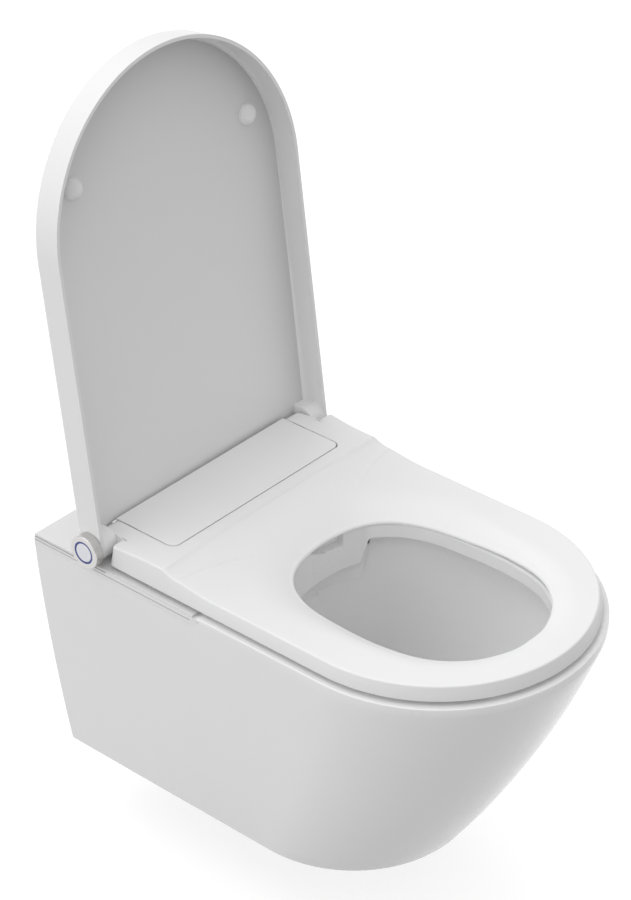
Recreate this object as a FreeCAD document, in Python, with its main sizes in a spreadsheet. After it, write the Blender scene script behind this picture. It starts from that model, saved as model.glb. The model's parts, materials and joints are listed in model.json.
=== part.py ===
import FreeCAD, Part
import math
import os
import re
import Sketcher
from FreeCAD import Placement, Rotation, Vector

# Wall-hung bidet toilet. Millimetres. The origin is midway between the two wall fixings, on the wall:
# +X is to the right of someone who faces the toilet, +Y points into the wall, +Z is up.
# A "rise" or a "drop" is measured from the pan's rim, and a "reach" from the wall.

doc = FreeCAD.newDocument("bidet_toilet")
sheet = doc.addObject("Spreadsheet::Sheet", "Sizes")

SIZES = {
    # Ceramic pan: D-shaped rim, waist and foot
    "rim_height": 100.0,
    "pan_half_width": 186.0,
    "pan_length": 603.0,
    "pan_height": 312.0,
    "waist_drop": 193.0,
    "waist_inset": 24.0,
    "waist_setback": 86.0,
    "foot_inset": 44.3,
    "foot_setback": 159.0,
    "rim_round": 9.0,
    "foot_round": 8.0,
    "china_wall": 12.0,
    "back_wall": 16.0,
    "hollow_drop": 57.0,
    # Bowl: half widths, half lengths and reach of the middle of five oval sections
    "lip_rise": 10.0,
    "lip_half_width": 141.0,
    "lip_half_length": 169.0,
    "lip_reach": 398.0,
    "upper_drop": 60.0,
    "upper_half_width": 126.0,
    "upper_half_length": 150.0,
    "upper_reach": 388.0,
    "middle_drop": 150.0,
    "middle_half_width": 92.0,
    "middle_half_length": 108.0,
    "middle_reach": 352.0,
    "lower_drop": 225.0,
    "lower_half_width": 55.0,
    "lower_half_length": 62.0,
    "lower_reach": 312.0,
    "sump_drop": 266.0,
    "sump_half_width": 30.0,
    "sump_half_length": 36.0,
    "sump_reach": 298.0,
    # Waste outlet, trap and flush inlet
    "waste_drop": 200.0,
    "waste_radius": 51.0,
    "waste_bore_radius": 42.0,
    "socket_radius": 45.0,
    "socket_depth": 55.0,
    "trap_reach": 205.0,
    "trap_fall": 32.0,
    "flush_drop": 65.0,
    "flush_radius": 39.0,
    "flush_bore_radius": 28.0,
    "flush_depth": 50.0,
    "channel_radius": 15.0,
    "channel_fall": 16.0,
    # Wall fixings, and the holes in the back for the supply hose and the lead
    "fixing_spacing": 180.0,
    "fixing_hole_radius": 10.0,
    "service_hole_radius": 22.0,
    "service_hole_inset": 68.0,
    "service_hole_drop": 155.0,
    # Recess for the wash unit, and the bay that its shroud hangs in
    "pocket_half_width": 115.0,
    "pocket_back": 62.0,
    "pocket_drop": 45.0,
    "bay_half_width": 106.0,
    "bay_back": 232.0,
    "bay_front": 262.0,
    "bay_drop": 72.0,
    "duct_reach": 90.0,
    "duct_offset": 75.0,
    "duct_radius": 15.0,
    # Base plate, its gasket and the deck cover on it
    "cover_thickness": 3.0,
    "plate_thickness": 9.0,
    "gasket_thickness": 1.5,
    "gasket_inset": 4.0,
    "plate_front": 243.0,
    "plate_round": 7.6,
    "plate_inset": 1.2,
    "deck_inset": 1.6,
    "deck_back_gap": 1.0,
    "trough_half_width": 20.0,
    "trough_back": 84.0,
    "screw_inset": 34.0,
    "screw_back_reach": 40.0,
    "screw_front_reach": 205.0,
    "screw_radius": 3.0,
    "screw_head_radius": 5.5,
    "screw_head_height": 2.6,
    "screw_length": 30.0,
    # Wash unit housing and service cover
    "unit_rise": 31.0,
    "unit_inset": 49.5,
    "housing_back": 80.5,
    "housing_front": 166.0,
    "housing_wall": 2.5,
    "housing_corner": 9.0,
    "service_thickness": 2.5,
    "service_gap": 0.2,
    "service_rib_depth": 4.0,
    "service_rib_gap": 0.6,
    "service_edge": 0.8,
    "boss_radius": 8.0,
    "boss_length": 26.0,
    "wand_arch_height": 6.0,
    # Hinge axis, pins and bushes
    "hinge_reach": 89.4,
    "hinge_rise": 20.2,
    "pin_radius": 6.0,
    "pin_bore_radius": 3.05,
    "running_gap": 0.05,
    "bush_wall": 3.0,
    "knuckle_gap": 0.9,
    # Lid, drawn closed about the hinge axis and turned open
    "lid_open_angle": 97.6,
    "lid_inset": 1.0,
    "lid_front_inset": 3.6,
    "lid_rise": 16.5,
    "lid_panel": 3.5,
    "lid_wall": 4.0,
    "lid_start": 8.5,
    "lid_edge": 3.0,
    "lid_inner_round": 8.0,
    "barrel_radius": 16.4,
    "barrel_length": 20.5,
    "bumper_radius": 10.5,
    "bumper_height": 6.0,
    "bumper_round": 2.0,
    "bumper_inset": 54.0,
    "bumper_setback": 127.0,
    # Seat
    "seat_inset": 6.0,
    "seat_front_inset": 10.5,
    "seat_back": 111.0,
    "seat_gap": 5.0,
    "seat_ring_rise": 20.5,
    "crease_reach": 187.5,
    "ramp_foot_reach": 242.0,
    "seat_side_gap": 1.4,
    "seat_cutout_gap": 1.4,
    "opening_half_width": 104.0,
    "opening_back": 258.0,
    "seat_front_width": 54.5,
    "seat_edge": 7.0,
    "seat_inner_edge": 7.0,
    "knuckle_radius": 10.7,
    "knuckle_length": 21.0,
    "seat_pad_length": 34.0,
    "seat_pad_width": 14.0,
    "seat_pad_gap": 0.3,
    "seat_pad_inset": 24.0,
    "seat_pad_reach": 330.0,
    "front_pad_offset": 72.0,
    "front_pad_inset": 36.5,
    # Control knob
    "knob_radius": 18.0,
    "knob_length": 10.9,
    "knob_gap": 0.8,
    "knob_edge": 1.2,
    "ring_radius": 12.4,
    "ring_width": 1.9,
    "ring_depth": 3.0,
    "cap_gap": 0.2,
    "cap_thickness": 4.0,
    "cap_travel": 1.5,
    "cap_spare": 0.4,
    "cap_edge": 0.6,
    "stem_radius": 3.0,
    "stem_clearance": 3.8,
    "encoder_length": 12.0,
    "damper_length": 24.0,
    "damper_neck_length": 6.0,
    # Nozzle shroud
    "shroud_front": 240.0,
    "shroud_thickness": 3.5,
    "shroud_half_width": 98.0,
    "shroud_drop": 63.0,
    "shroud_corner": 12.0,
    "window_half_width": 55.0,
    "window_top_drop": 8.0,
    "window_bottom_drop": 35.0,
    "window_corner": 6.0,
    # Spray wand, drawn along its own axis and tilted
    "wand_reach": 238.0,
    "wand_drop": 20.0,
    "wand_tilt": 8.0,
    "wand_radius": 8.0,
    "wand_bore_radius": 5.0,
    "wand_rear": 152.0,
    "tip_front": 2.0,
    "tip_length": 20.0,
    "tip_radius": 8.6,
    "tip_round": 4.0,
    "orifice_radius": 0.9,
    "orifice_pitch": 4.5,
    "guide_front": 4.0,
    "guide_rear": 62.0,
    "guide_half_width": 13.0,
    "guide_half_height": 11.5,
    "guide_gap": 0.1,
    "saddle_half_width": 38.0,
    "saddle_thickness": 4.0,
    "saddle_front": 232.0,
    "saddle_back": 178.0,
    "rack_half_width": 3.0,
    "rack_gap": 1.0,
    "rack_pitch_depth": 11.0,
    "tooth_size": 1.0,
    "tooth_backlash": 0.3,
    "mesh_gap": 0.15,
    "pinion_along": 35.0,
    "pinion_half_width": 3.5,
    "shaft_radius": 2.0,
    "motor_radius": 9.5,
    "motor_length": 20.0,
    "motor_start": 13.5,
    "bracket_thickness": 2.0,
    # Water and control pieces in the housing
    "heater_inset": 18.5,
    "heater_width": 54.0,
    "heater_height": 23.0,
    "heater_corner": 4.0,
    "heater_offset": 44.0,
    "heater_reach": 104.0,
    "port_radius": 4.0,
    "port_length": 7.0,
    "pump_radius": 12.0,
    "pump_inset": 30.5,
    "pump_head_radius": 13.0,
    "pump_head_length": 12.0,
    "pump_offset": 48.0,
    "pump_reach": 146.0,
    "valve_length": 36.0,
    "valve_width": 24.0,
    "valve_height": 14.0,
    "valve_offset": 60.0,
    "valve_reach": 104.0,
    "coil_radius": 9.0,
    "coil_height": 11.0,
    "board_half_width": 40.0,
    "board_back": 100.0,
    "board_front": 156.0,
    "board_thickness": 1.6,
    "board_rise": 22.0,
    "post_radius": 2.6,
    "post_inset": 5.0,
    "chip_length": 16.0,
    "chip_width": 12.0,
    "chip_height": 2.4,
    "nipple_radius": 10.4,
    "nipple_bore_radius": 7.0,
    "nipple_length": 24.0,
    "nipple_flange_radius": 13.5,
    "nipple_flange": 3.0,
    "gland_radius": 9.0,
    "gland_bore_radius": 3.8,
    "gland_length": 20.0,
    # One overrun serves all cuts
    "overrun": 5.0,
    # How near an edge has to be to count as lying at a level
    "closeness": 0.01,
}

# Sizes that follow from others: the seat, lid, wash unit and knob keep to the pan
DERIVED = {
    "waist_half_width": "pan_half_width - waist_inset",
    "waist_length": "pan_length - waist_setback",
    "foot_half_width": "pan_half_width - foot_inset",
    "foot_length": "pan_length - foot_setback",
    "service_hole_offset": "pan_half_width - service_hole_inset",
    "screw_offset": "pan_half_width - screw_inset",
    "housing_half_width": "pan_half_width - unit_inset",
    "pin_start": "housing_half_width - housing_wall - boss_length",
    "lid_half_width": "pan_half_width - lid_inset",
    "lid_length": "pan_length - hinge_reach - lid_front_inset",
    "barrel_start": "lid_half_width - lid_wall - barrel_length",
    "bumper_offset": "lid_half_width - bumper_inset",
    "bumper_along": "lid_length - bumper_setback",
    "seat_half_width": "pan_half_width - seat_inset",
    "seat_front": "pan_length - seat_front_inset",
    "opening_front": "seat_front - seat_front_width",
    "seat_pad_offset": "seat_half_width - seat_pad_inset",
    "front_pad_reach": "seat_front - front_pad_inset",
    "knob_back": "lid_half_width + knob_gap",
    "knob_face": "knob_back + knob_length",
    "stem_length": "knob_back - pin_start - stem_clearance",
    "heater_length": "housing_half_width - heater_inset - heater_offset",
    "pump_length": "housing_half_width - pump_inset - pump_offset - pump_head_length",
}
PINION_TEETH = 14
PRESSURE_ANGLE = math.radians(20.0)
DEDENDUM_SHARE = 1.25
QUARTER_TURN = 90.0
ORIFICES = 3

CELLS = {alias: str(number) for alias, number in SIZES.items()}
CELLS.update({alias: f"={rule}" for alias, rule in DERIVED.items()})
for row, (alias, content) in enumerate(CELLS.items(), start=1):
    sheet.set(f"A{row}", alias)
    sheet.setAlias(f"B{row}", alias)
    sheet.set(f"B{row}", content)
doc.recompute()

PIECES = []
WORD = re.compile(r"[a-z_]+")
TURNS = {
    "x": Rotation(Vector(0, 1, 0), QUARTER_TURN),
    "y": Rotation(Vector(1, 0, 0), -QUARTER_TURN),
    "z": Rotation(),
}


def size(alias):
    """Read one size from the sheet."""
    return float(sheet.get(alias))


def linked(expression):
    """Tie each size's name in an expression to its cell."""
    return WORD.sub(lambda word: f"Sizes.{word[0]}" if word[0] in CELLS else word[0], expression)


def bind(obj, prop, expression):
    obj.setExpression(prop, linked(expression))


def put(obj, corner, turn=None):
    """Turn an object, then bind its place."""
    obj.Placement = Placement(Vector(), turn or Rotation())
    for letter, expression in zip("xyz", corner):
        bind(obj, f"Placement.Base.{letter}", expression)
    return obj


def box(name, lengths, corner):
    obj = doc.addObject("Part::Box", name)
    for prop, expression in zip(("Length", "Width", "Height"), lengths):
        bind(obj, prop, expression)
    return put(obj, corner)


def rod(name, radius, length, start, along):
    """A cylinder that runs from start in the direction of an axis."""
    obj = doc.addObject("Part::Cylinder", name)
    bind(obj, "Radius", radius)
    bind(obj, "Height", length)
    return put(obj, start, TURNS[along])


def join(name, *parts):
    obj = doc.addObject("Part::MultiFuse", name)
    obj.Shapes = list(parts)
    obj.Refine = True
    return obj


def cut(name, base, *tools):
    obj = doc.addObject("Part::Cut", name)
    obj.Base = base
    obj.Tool = tools[0] if len(tools) == 1 else join(f"{name}_tools", *tools)
    obj.Refine = True
    return obj


def common(name, base, tool):
    obj = doc.addObject("Part::Common", name)
    obj.Base = base
    obj.Tool = tool
    return obj


def group(name, *parts):
    """Several separate solids that share one piece."""
    obj = doc.addObject("Part::Compound", name)
    obj.Links = list(parts)
    return obj


def rounded(name, base, radius, wanted):
    """Round the edges of base that the test picks out."""
    doc.recompute()
    obj = doc.addObject("Part::Fillet", name)
    obj.Base = base
    length = size(radius) if isinstance(radius, str) else radius
    edges = enumerate(base.Shape.Edges, start=1)
    obj.Edges = [(index, length, length) for index, edge in edges if wanted(edge)]
    return obj


def piece(label, obj):
    obj.Label = label
    PIECES.append(obj)
    return obj


def lies_at(edge, **places):
    """Whether an edge lies wholly at the given x, y or z."""
    limits = edge.BoundBox
    reach = {
        "x": (limits.XMin, limits.XMax),
        "y": (limits.YMin, limits.YMax),
        "z": (limits.ZMin, limits.ZMax),
    }
    near = size("closeness")
    return all(abs(end - place) < near for letter, place in places.items() for end in reach[letter])


def d_block(name, half_width, back, front, bottom, height):
    """A D-shaped block: straight sides from the back, and a half circle in front."""
    straight = f"{front} - {half_width} - ({back})"
    slab = box(f"{name}_slab", (f"2 * ({half_width})", straight, height),
               (f"-({half_width})", f"{half_width} - ({front})", bottom))
    bow = rod(f"{name}_bow", half_width, height, ("0", f"{half_width} - ({front})", bottom), "z")
    return join(name, slab, bow)


def d_sketch(name, half_width, length, back, level):
    """A D-shaped outline at one level, for a loft. With no back, it runs past the wall, to be trimmed."""
    obj = doc.addObject("Sketcher::SketchObject", name)
    wide, long = size("pan_half_width"), size("pan_length")
    bow = Part.Circle(Vector(0, wide - long, 0), Vector(0, 0, 1), wide)
    obj.addGeometry(Part.LineSegment(Vector(-wide, 0, 0), Vector(wide, 0, 0)))
    obj.addGeometry(Part.LineSegment(Vector(wide, 0, 0), Vector(wide, wide - long, 0)))
    obj.addGeometry(Part.ArcOfCircle(bow, math.pi, 2 * math.pi))
    obj.addGeometry(Part.LineSegment(Vector(-wide, wide - long, 0), Vector(-wide, 0, 0)))
    obj.addConstraint(Sketcher.Constraint("Coincident", 0, 2, 1, 1))
    obj.addConstraint(Sketcher.Constraint("Tangent", 1, 2, 2, 2))
    obj.addConstraint(Sketcher.Constraint("Tangent", 2, 1, 3, 1))
    obj.addConstraint(Sketcher.Constraint("Coincident", 3, 2, 0, 1))
    obj.addConstraint(Sketcher.Constraint("Horizontal", 0))
    obj.addConstraint(Sketcher.Constraint("Vertical", 1))
    obj.addConstraint(Sketcher.Constraint("Vertical", 3))
    obj.addConstraint(Sketcher.Constraint("PointOnObject", 2, 3, -2))
    radius = obj.addConstraint(Sketcher.Constraint("Radius", 2, wide))
    centre = obj.addConstraint(Sketcher.Constraint("DistanceY", 2, 3, -1, 1, long - wide))
    bind(obj, f"Constraints[{radius}]", half_width)
    bind(obj, f"Constraints[{centre}]", f"{length} - ({half_width})")
    if back:
        rear = obj.addConstraint(Sketcher.Constraint("DistanceY", 0, 1, -1, 1, size(back)))
        bind(obj, f"Constraints[{rear}]", back)
    else:
        past_wall = obj.addConstraint(Sketcher.Constraint("DistanceY", -1, 1, 0, 1, size("overrun")))
        bind(obj, f"Constraints[{past_wall}]", "overrun")
    bind(obj, "Placement.Base.z", level)
    return obj


def oval(name, half_width, half_length, reach, level):
    """An oval section of the bowl, longer front to back than side to side."""
    obj = doc.addObject("Part::Ellipse", name)
    bind(obj, "MajorRadius", half_length)
    bind(obj, "MinorRadius", half_width)
    return put(obj, ("0", f"-({reach})", level), Rotation(Vector(0, 0, 1), QUARTER_TURN))


def loft(name, *sections):
    obj = doc.addObject("Part::Loft", name)
    obj.Sections = list(sections)
    obj.Solid = True
    obj.Ruled = False
    return obj


def pan_loft(name, inset, back, top_drop, bottom):
    """The pan's outside, or its hollow, from the level that top_drop gives through waist and foot."""
    lean = f"{top_drop} / waist_drop"
    top_half = f"pan_half_width - (pan_half_width - waist_half_width) * {lean} - {inset}"
    top_length = f"pan_length - (pan_length - waist_length) * {lean} - {inset}"
    sections = [
        d_sketch(f"{name}_top", top_half, top_length, back, f"rim_height - {top_drop}"),
        d_sketch(f"{name}_waist", f"waist_half_width - {inset}", f"waist_length - {inset}", back,
                 "rim_height - waist_drop"),
        d_sketch(f"{name}_foot", f"foot_half_width - {inset}", f"foot_length - {inset}", back, bottom),
    ]
    return loft(name, *sections)


def bowl_loft(name, grow):
    """The bowl's inside, or its outside where the wall is added."""
    lip = oval(f"{name}_lip", f"lip_half_width + {grow}", f"lip_half_length + {grow}", "lip_reach",
               "rim_height + lip_rise")
    sections = [lip]
    for level in ("upper", "middle", "lower", "sump"):
        height = f"rim_height - {level}_drop"
        if level == "sump":
            height = f"{height} - {grow}"
        sections.append(oval(f"{name}_{level}", f"{level}_half_width + {grow}",
                             f"{level}_half_length + {grow}", f"{level}_reach", height))
    return loft(name, *sections)


def waste_pipe(name, radius, start):
    """The trap's way out: level to the wall, then down to the bowl's sump."""
    waste_level = "rim_height - waste_drop"
    level_run = rod(f"{name}_level", radius, f"trap_reach + {start}", ("0", "-trap_reach", waste_level), "y")
    bend = doc.addObject("Part::Sphere", f"{name}_bend")
    bind(bend, "Radius", radius)
    put(bend, ("0", "-trap_reach", waste_level))
    run = doc.addObject("Part::Cylinder", f"{name}_run")
    bind(run, "Radius", radius)
    bind(run, "Height", "sqrt((sump_reach - trap_reach)^2 + trap_fall^2)")
    run.Placement = Placement(Vector(), Rotation(Vector(1, 0, 0), QUARTER_TURN))
    bind(run, "Placement.Base.y", "-trap_reach")
    bind(run, "Placement.Base.z", waste_level)
    bind(run, "Placement.Rotation.Angle", "90 deg + atan(trap_fall / (sump_reach - trap_reach))")
    return join(name, level_run, bend, run)


def flush_channel(name, radius):
    """The flush water's way from the inlet down to the back of the bowl."""
    run = doc.addObject("Part::Cylinder", name)
    length = "(upper_reach - upper_half_length + 2 * china_wall - flush_depth)"
    bind(run, "Radius", radius)
    bind(run, "Height", f"sqrt({length}^2 + channel_fall^2)")
    run.Placement = Placement(Vector(), Rotation(Vector(1, 0, 0), QUARTER_TURN))
    bind(run, "Placement.Base.y", "channel_radius - flush_depth")
    bind(run, "Placement.Base.z", "rim_height - flush_drop")
    bind(run, "Placement.Rotation.Angle", f"90 deg + atan(channel_fall / {length})")
    return run


REBATE = "(cover_thickness + plate_thickness + gasket_thickness)"
PLATE_TOP = "(rim_height - cover_thickness)"
PLATE_BOTTOM = "(rim_height - cover_thickness - plate_thickness)"
AXIS_LEVEL = "(rim_height + hinge_rise)"
SCREW_PLACES = [(side, reach) for side in ("-", "") for reach in ("screw_back_reach", "screw_front_reach")]


def round_front_slab(name, half_width, back, front, bottom, height, radius):
    """A slab whose lower front edge is rounded, as the plate's ends are at the pan's sides."""
    slab = box(f"{name}_block", (f"2 * ({half_width})", f"{front} - ({back})", height),
               (f"-({half_width})", f"-({front})", bottom))
    doc.recompute()
    limits = slab.Shape.BoundBox
    return rounded(name, slab, radius, lambda edge: lies_at(edge, y=limits.YMin, z=limits.ZMin))


def screw_holes(name, radius, bottom, length):
    return [rod(f"{name}_{index}", radius, length, (f"{side}screw_offset", f"-{reach}", bottom), "z")
            for index, (side, reach) in enumerate(SCREW_PLACES)]


def make_pan():
    foot_level = "rim_height - pan_height"
    lofted = pan_loft("pan_lofted", "0", None, "0", foot_level)
    behind_wall = box("pan_behind_wall", ("2 * (pan_half_width + overrun)", "2 * overrun",
                                          "pan_height + 2 * overrun"),
                      ("-pan_half_width - overrun", "0", f"{foot_level} - overrun"))
    outside = cut("pan_outside", lofted, behind_wall)
    rim_level = size("rim_height")
    low_level = rim_level - size("pan_height")
    soft_foot = rounded("pan_soft_foot", outside, "foot_round",
                        lambda edge: lies_at(edge, z=low_level) and not lies_at(edge, y=0))
    soft_rim = rounded("pan_soft_rim", soft_foot, "rim_round",
                       lambda edge: lies_at(edge, z=rim_level) and not lies_at(edge, y=0))
    hollow = pan_loft("pan_hollow", "china_wall", "back_wall", "hollow_drop", f"{foot_level} + china_wall")
    shell = cut("pan_shell", soft_rim, hollow)
    bowl_wall = common("pan_bowl_wall", bowl_loft("pan_bowl_outside", "china_wall"), soft_rim)
    flush_level = "rim_height - flush_drop"
    flush_socket = rod("pan_flush_socket", "flush_radius", "flush_depth + china_wall",
                       ("0", "-flush_depth - china_wall", flush_level), "y")
    body = join("pan_body", shell, bowl_wall, flush_socket,
                common("pan_trap", waste_pipe("pan_trap_outside", "waste_radius", "0"), soft_rim),
                common("pan_channel", flush_channel("pan_channel_outside", "channel_radius + china_wall"),
                       soft_rim))
    pocket = box("pan_pocket", ("2 * pocket_half_width", "bay_back - pocket_back", "pocket_drop + overrun"),
                 ("-pocket_half_width", "-bay_back", "rim_height - pocket_drop"))
    bay = box("pan_bay", ("2 * bay_half_width", "bay_front - bay_back", "bay_drop + overrun"),
              ("-bay_half_width", "-bay_front", "rim_height - bay_drop"))
    rebate = round_front_slab("pan_rebate", "pan_half_width + overrun", "-overrun",
                              "plate_front + service_gap", f"rim_height - {REBATE}", f"{REBATE} + overrun",
                              "plate_round")
    flush_bore = rod("pan_flush_bore", "flush_bore_radius", "flush_depth + overrun",
                     ("0", "-flush_depth", flush_level), "y")
    fixings = [rod(f"pan_fixing_{index}", "fixing_hole_radius", "back_wall + 2 * overrun",
                   (f"{side}fixing_spacing / 2", "-back_wall - overrun", "0"), "y")
               for index, side in enumerate(("-", ""))]
    service_holes = [rod(f"pan_service_hole_{index}", "service_hole_radius", "back_wall + 2 * overrun",
                         (f"{side}service_hole_offset", "-back_wall - overrun",
                          "rim_height - service_hole_drop"), "y")
                     for index, side in enumerate(("-", ""))]
    waste_socket = rod("pan_waste_socket", "socket_radius", "socket_depth + overrun",
                       ("0", "-socket_depth", "rim_height - waste_drop"), "y")
    ducts = [rod(f"pan_duct_{index}", "duct_radius", "hollow_drop - pocket_drop + 2 * overrun",
                 (f"{side}duct_offset", "-duct_reach", "rim_height - hollow_drop - overrun"), "z")
             for index, side in enumerate(("-", ""))]
    screws = screw_holes("pan_screw", "screw_radius + running_gap",
                         f"{PLATE_BOTTOM} - screw_length", "screw_length + overrun")
    pan = cut("pan", body, bowl_loft("pan_bowl", "0"), pocket, bay, rebate, flush_bore,
              waste_pipe("pan_trap_bore", "waste_bore_radius", "overrun"),
              flush_channel("pan_channel_bore", "channel_radius"),
              waste_socket, *fixings, *service_holes, *ducts, *screws)
    piece("ceramic_pan", pan)


def make_base():
    """Gasket, base plate, deck cover and the screws that hold them to the pan."""
    gasket_level = f"rim_height - {REBATE}"
    plate_half = "pan_half_width - plate_inset"
    gasket_half = f"{plate_half} - gasket_inset"
    gasket_front = "plate_front - plate_round - gasket_inset"
    gasket_sheet = box("gasket_sheet", (f"2 * ({gasket_half})", f"{gasket_front} - gasket_inset",
                                        "gasket_thickness"),
                       (f"-({gasket_half})", f"-({gasket_front})", gasket_level))
    gasket_hole = box("gasket_hole", ("2 * pocket_half_width", "bay_back - pocket_back + 2 * overrun",
                                      "gasket_thickness + 2 * overrun"),
                      ("-pocket_half_width", "-bay_back - 2 * overrun", f"{gasket_level} - overrun"))
    gasket = cut("gasket", gasket_sheet, gasket_hole,
                 *screw_holes("gasket_screw", "screw_radius + running_gap", f"{gasket_level} - overrun",
                              "gasket_thickness + 2 * overrun"))
    piece("base_gasket", gasket)

    slab = round_front_slab("plate_slab", plate_half, "deck_back_gap", "plate_front", PLATE_BOTTOM,
                            "plate_thickness", "plate_round")
    trough = box("plate_trough", ("2 * trough_half_width", "plate_front - trough_back + overrun",
                                  "plate_thickness + 2 * overrun"),
                 ("-trough_half_width", "-plate_front - overrun", f"{PLATE_BOTTOM} - overrun"))
    notch_back = "(shroud_front - shroud_thickness)"
    notch = box("plate_notch", ("2 * bay_half_width", f"plate_front - {notch_back} + overrun",
                                "plate_thickness + 2 * overrun"),
                ("-bay_half_width", "-plate_front - overrun", f"{PLATE_BOTTOM} - overrun"))
    duct_sides = (("-", "gland_bore_radius"), ("", "nipple_bore_radius"))
    plate_ducts = [rod(f"plate_duct_{index}", radius, "plate_thickness + 2 * overrun",
                       (f"{side}duct_offset", "-duct_reach", f"{PLATE_BOTTOM} - overrun"), "z")
                   for index, (side, radius) in enumerate(duct_sides)]
    heads = screw_holes("plate_head", "screw_head_radius + running_gap", f"{PLATE_TOP} - screw_head_height",
                        "screw_head_height + overrun")
    shanks = screw_holes("plate_shank", "screw_radius + running_gap", f"{PLATE_BOTTOM} - overrun",
                         "plate_thickness + 2 * overrun")
    piece("base_plate", cut("plate", slab, trough, notch, *plate_ducts, *heads, *shanks))

    deck_half = "pan_half_width - deck_inset"
    deck_front = "(shroud_front - shroud_thickness)"
    deck = box("deck_sheet", (f"2 * ({deck_half})", f"{deck_front} - deck_back_gap", "cover_thickness"),
               (f"-({deck_half})", f"-{deck_front}", PLATE_TOP))
    unit_half = "housing_half_width + seat_side_gap"
    deck_hole = box("deck_hole", (f"2 * ({unit_half})",
                                  f"{deck_front} - housing_back + seat_side_gap + overrun",
                                  "cover_thickness + 2 * overrun"),
                    (f"-({unit_half})", f"-{deck_front} - overrun", f"{PLATE_TOP} - overrun"))
    open_deck = cut("deck_open", deck, deck_hole)
    top = size("rim_height")
    piece("deck_cover", rounded("deck", open_deck, "cap_edge",
                                lambda edge: lies_at(edge, z=top) and not lies_at(edge, x=0)))

    screws = []
    for index, (side, reach) in enumerate(SCREW_PLACES):
        place = (f"{side}screw_offset", f"-{reach}")
        head = rod(f"screw_head_{index}", "screw_head_radius", "screw_head_height",
                   (*place, f"{PLATE_TOP} - screw_head_height"), "z")
        shank = rod(f"screw_shank_{index}", "screw_radius", "screw_length - overrun",
                    (*place, f"{PLATE_BOTTOM} - screw_length + overrun"), "z")
        neck = rod(f"screw_neck_{index}", "screw_radius", "plate_thickness - screw_head_height",
                   (*place, PLATE_BOTTOM), "z")
        slot = box(f"screw_slot_{index}", ("2 * screw_head_radius", "screw_radius / 2", "screw_head_height"),
                   (f"{place[0]} - screw_head_radius", f"{place[1]} - screw_radius / 4",
                    f"{PLATE_TOP} - screw_head_height / 2"))
        screws.append(cut(f"screw_{index}", join(f"screw_blank_{index}", head, shank, neck), slot))
    piece("base_screws", group("screws", *screws))


def make_housing():
    """The wash unit's four walls with the bosses for the hinge pins, and the lift-off cover on top."""
    depth = "(housing_front - housing_back)"
    wall_top = "(rim_height + unit_rise - service_thickness - service_gap)"
    block = box("housing_block", ("2 * housing_half_width", depth, f"{wall_top} - {PLATE_TOP}"),
                ("-housing_half_width", "-housing_front", PLATE_TOP))
    front = -size("housing_front")
    half = size("housing_half_width")

    def is_front_corner(edge):
        return lies_at(edge, y=front) and (lies_at(edge, x=half) or lies_at(edge, x=-half))

    outer = rounded("housing_outer", block, "housing_corner", is_front_corner)
    room = box("housing_room", ("2 * (housing_half_width - housing_wall)", f"{depth} - 2 * housing_wall",
                                f"{wall_top} - {PLATE_TOP} + 2 * overrun"),
               ("housing_wall - housing_half_width", "housing_wall - housing_front", f"{PLATE_TOP} - overrun"))
    room_front = front + size("housing_wall")

    def is_room_corner(edge):
        limits = edge.BoundBox
        return lies_at(edge, y=room_front) and limits.ZLength > limits.XLength

    room_corner = size("housing_corner") - size("housing_wall")
    soft_room = rounded("housing_soft_room", room, room_corner, is_room_corner)
    walls = cut("housing_walls", outer, soft_room)
    bosses = []
    bores = []
    for name, start in (("left", "housing_wall - housing_half_width"),
                        ("right", "housing_half_width - housing_wall - boss_length")):
        bosses.append(rod(f"housing_boss_{name}", "boss_radius", "boss_length",
                          (start, "-hinge_reach", AXIS_LEVEL), "x"))
    for name, start in (("left", "-housing_half_width - overrun"),
                        ("right", "housing_half_width - housing_wall - boss_length - overrun")):
        bores.append(rod(f"housing_bore_{name}", "pin_radius + running_gap",
                         "boss_length + housing_wall + 2 * overrun", (start, "-hinge_reach", AXIS_LEVEL), "x"))
    arch = box("housing_arch", ("2 * trough_half_width", "housing_wall + 2 * overrun",
                                "wand_arch_height + overrun"),
               ("-trough_half_width", "-housing_front - overrun", f"{PLATE_TOP} - overrun"))
    piece("wash_unit_housing", cut("housing", join("housing_bossed", walls, *bosses), arch, *bores))

    cover_bottom = "(rim_height + unit_rise - service_thickness)"
    sheet_block = box("service_sheet", ("2 * housing_half_width", depth, "service_thickness"),
                      ("-housing_half_width", "-housing_front", cover_bottom))
    plain = rounded("service_plain", sheet_block, "housing_corner", is_front_corner)
    cover_top = size("rim_height") + size("unit_rise")
    soft = rounded("service_soft", plain, "service_edge", lambda edge: lies_at(edge, z=cover_top))
    rib_length = f"{depth} / 2"
    ribs = [box(f"service_rib_{index}",
                ("housing_wall", rib_length, "service_rib_depth + service_thickness / 2"),
                (start, "-housing_front + housing_corner + housing_wall",
                 f"{cover_bottom} - service_rib_depth"))
            for index, start in enumerate(("housing_wall + service_rib_gap - housing_half_width",
                                           "housing_half_width - 2 * housing_wall - service_rib_gap"))]
    piece("service_cover", join("service", soft, *ribs))


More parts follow.
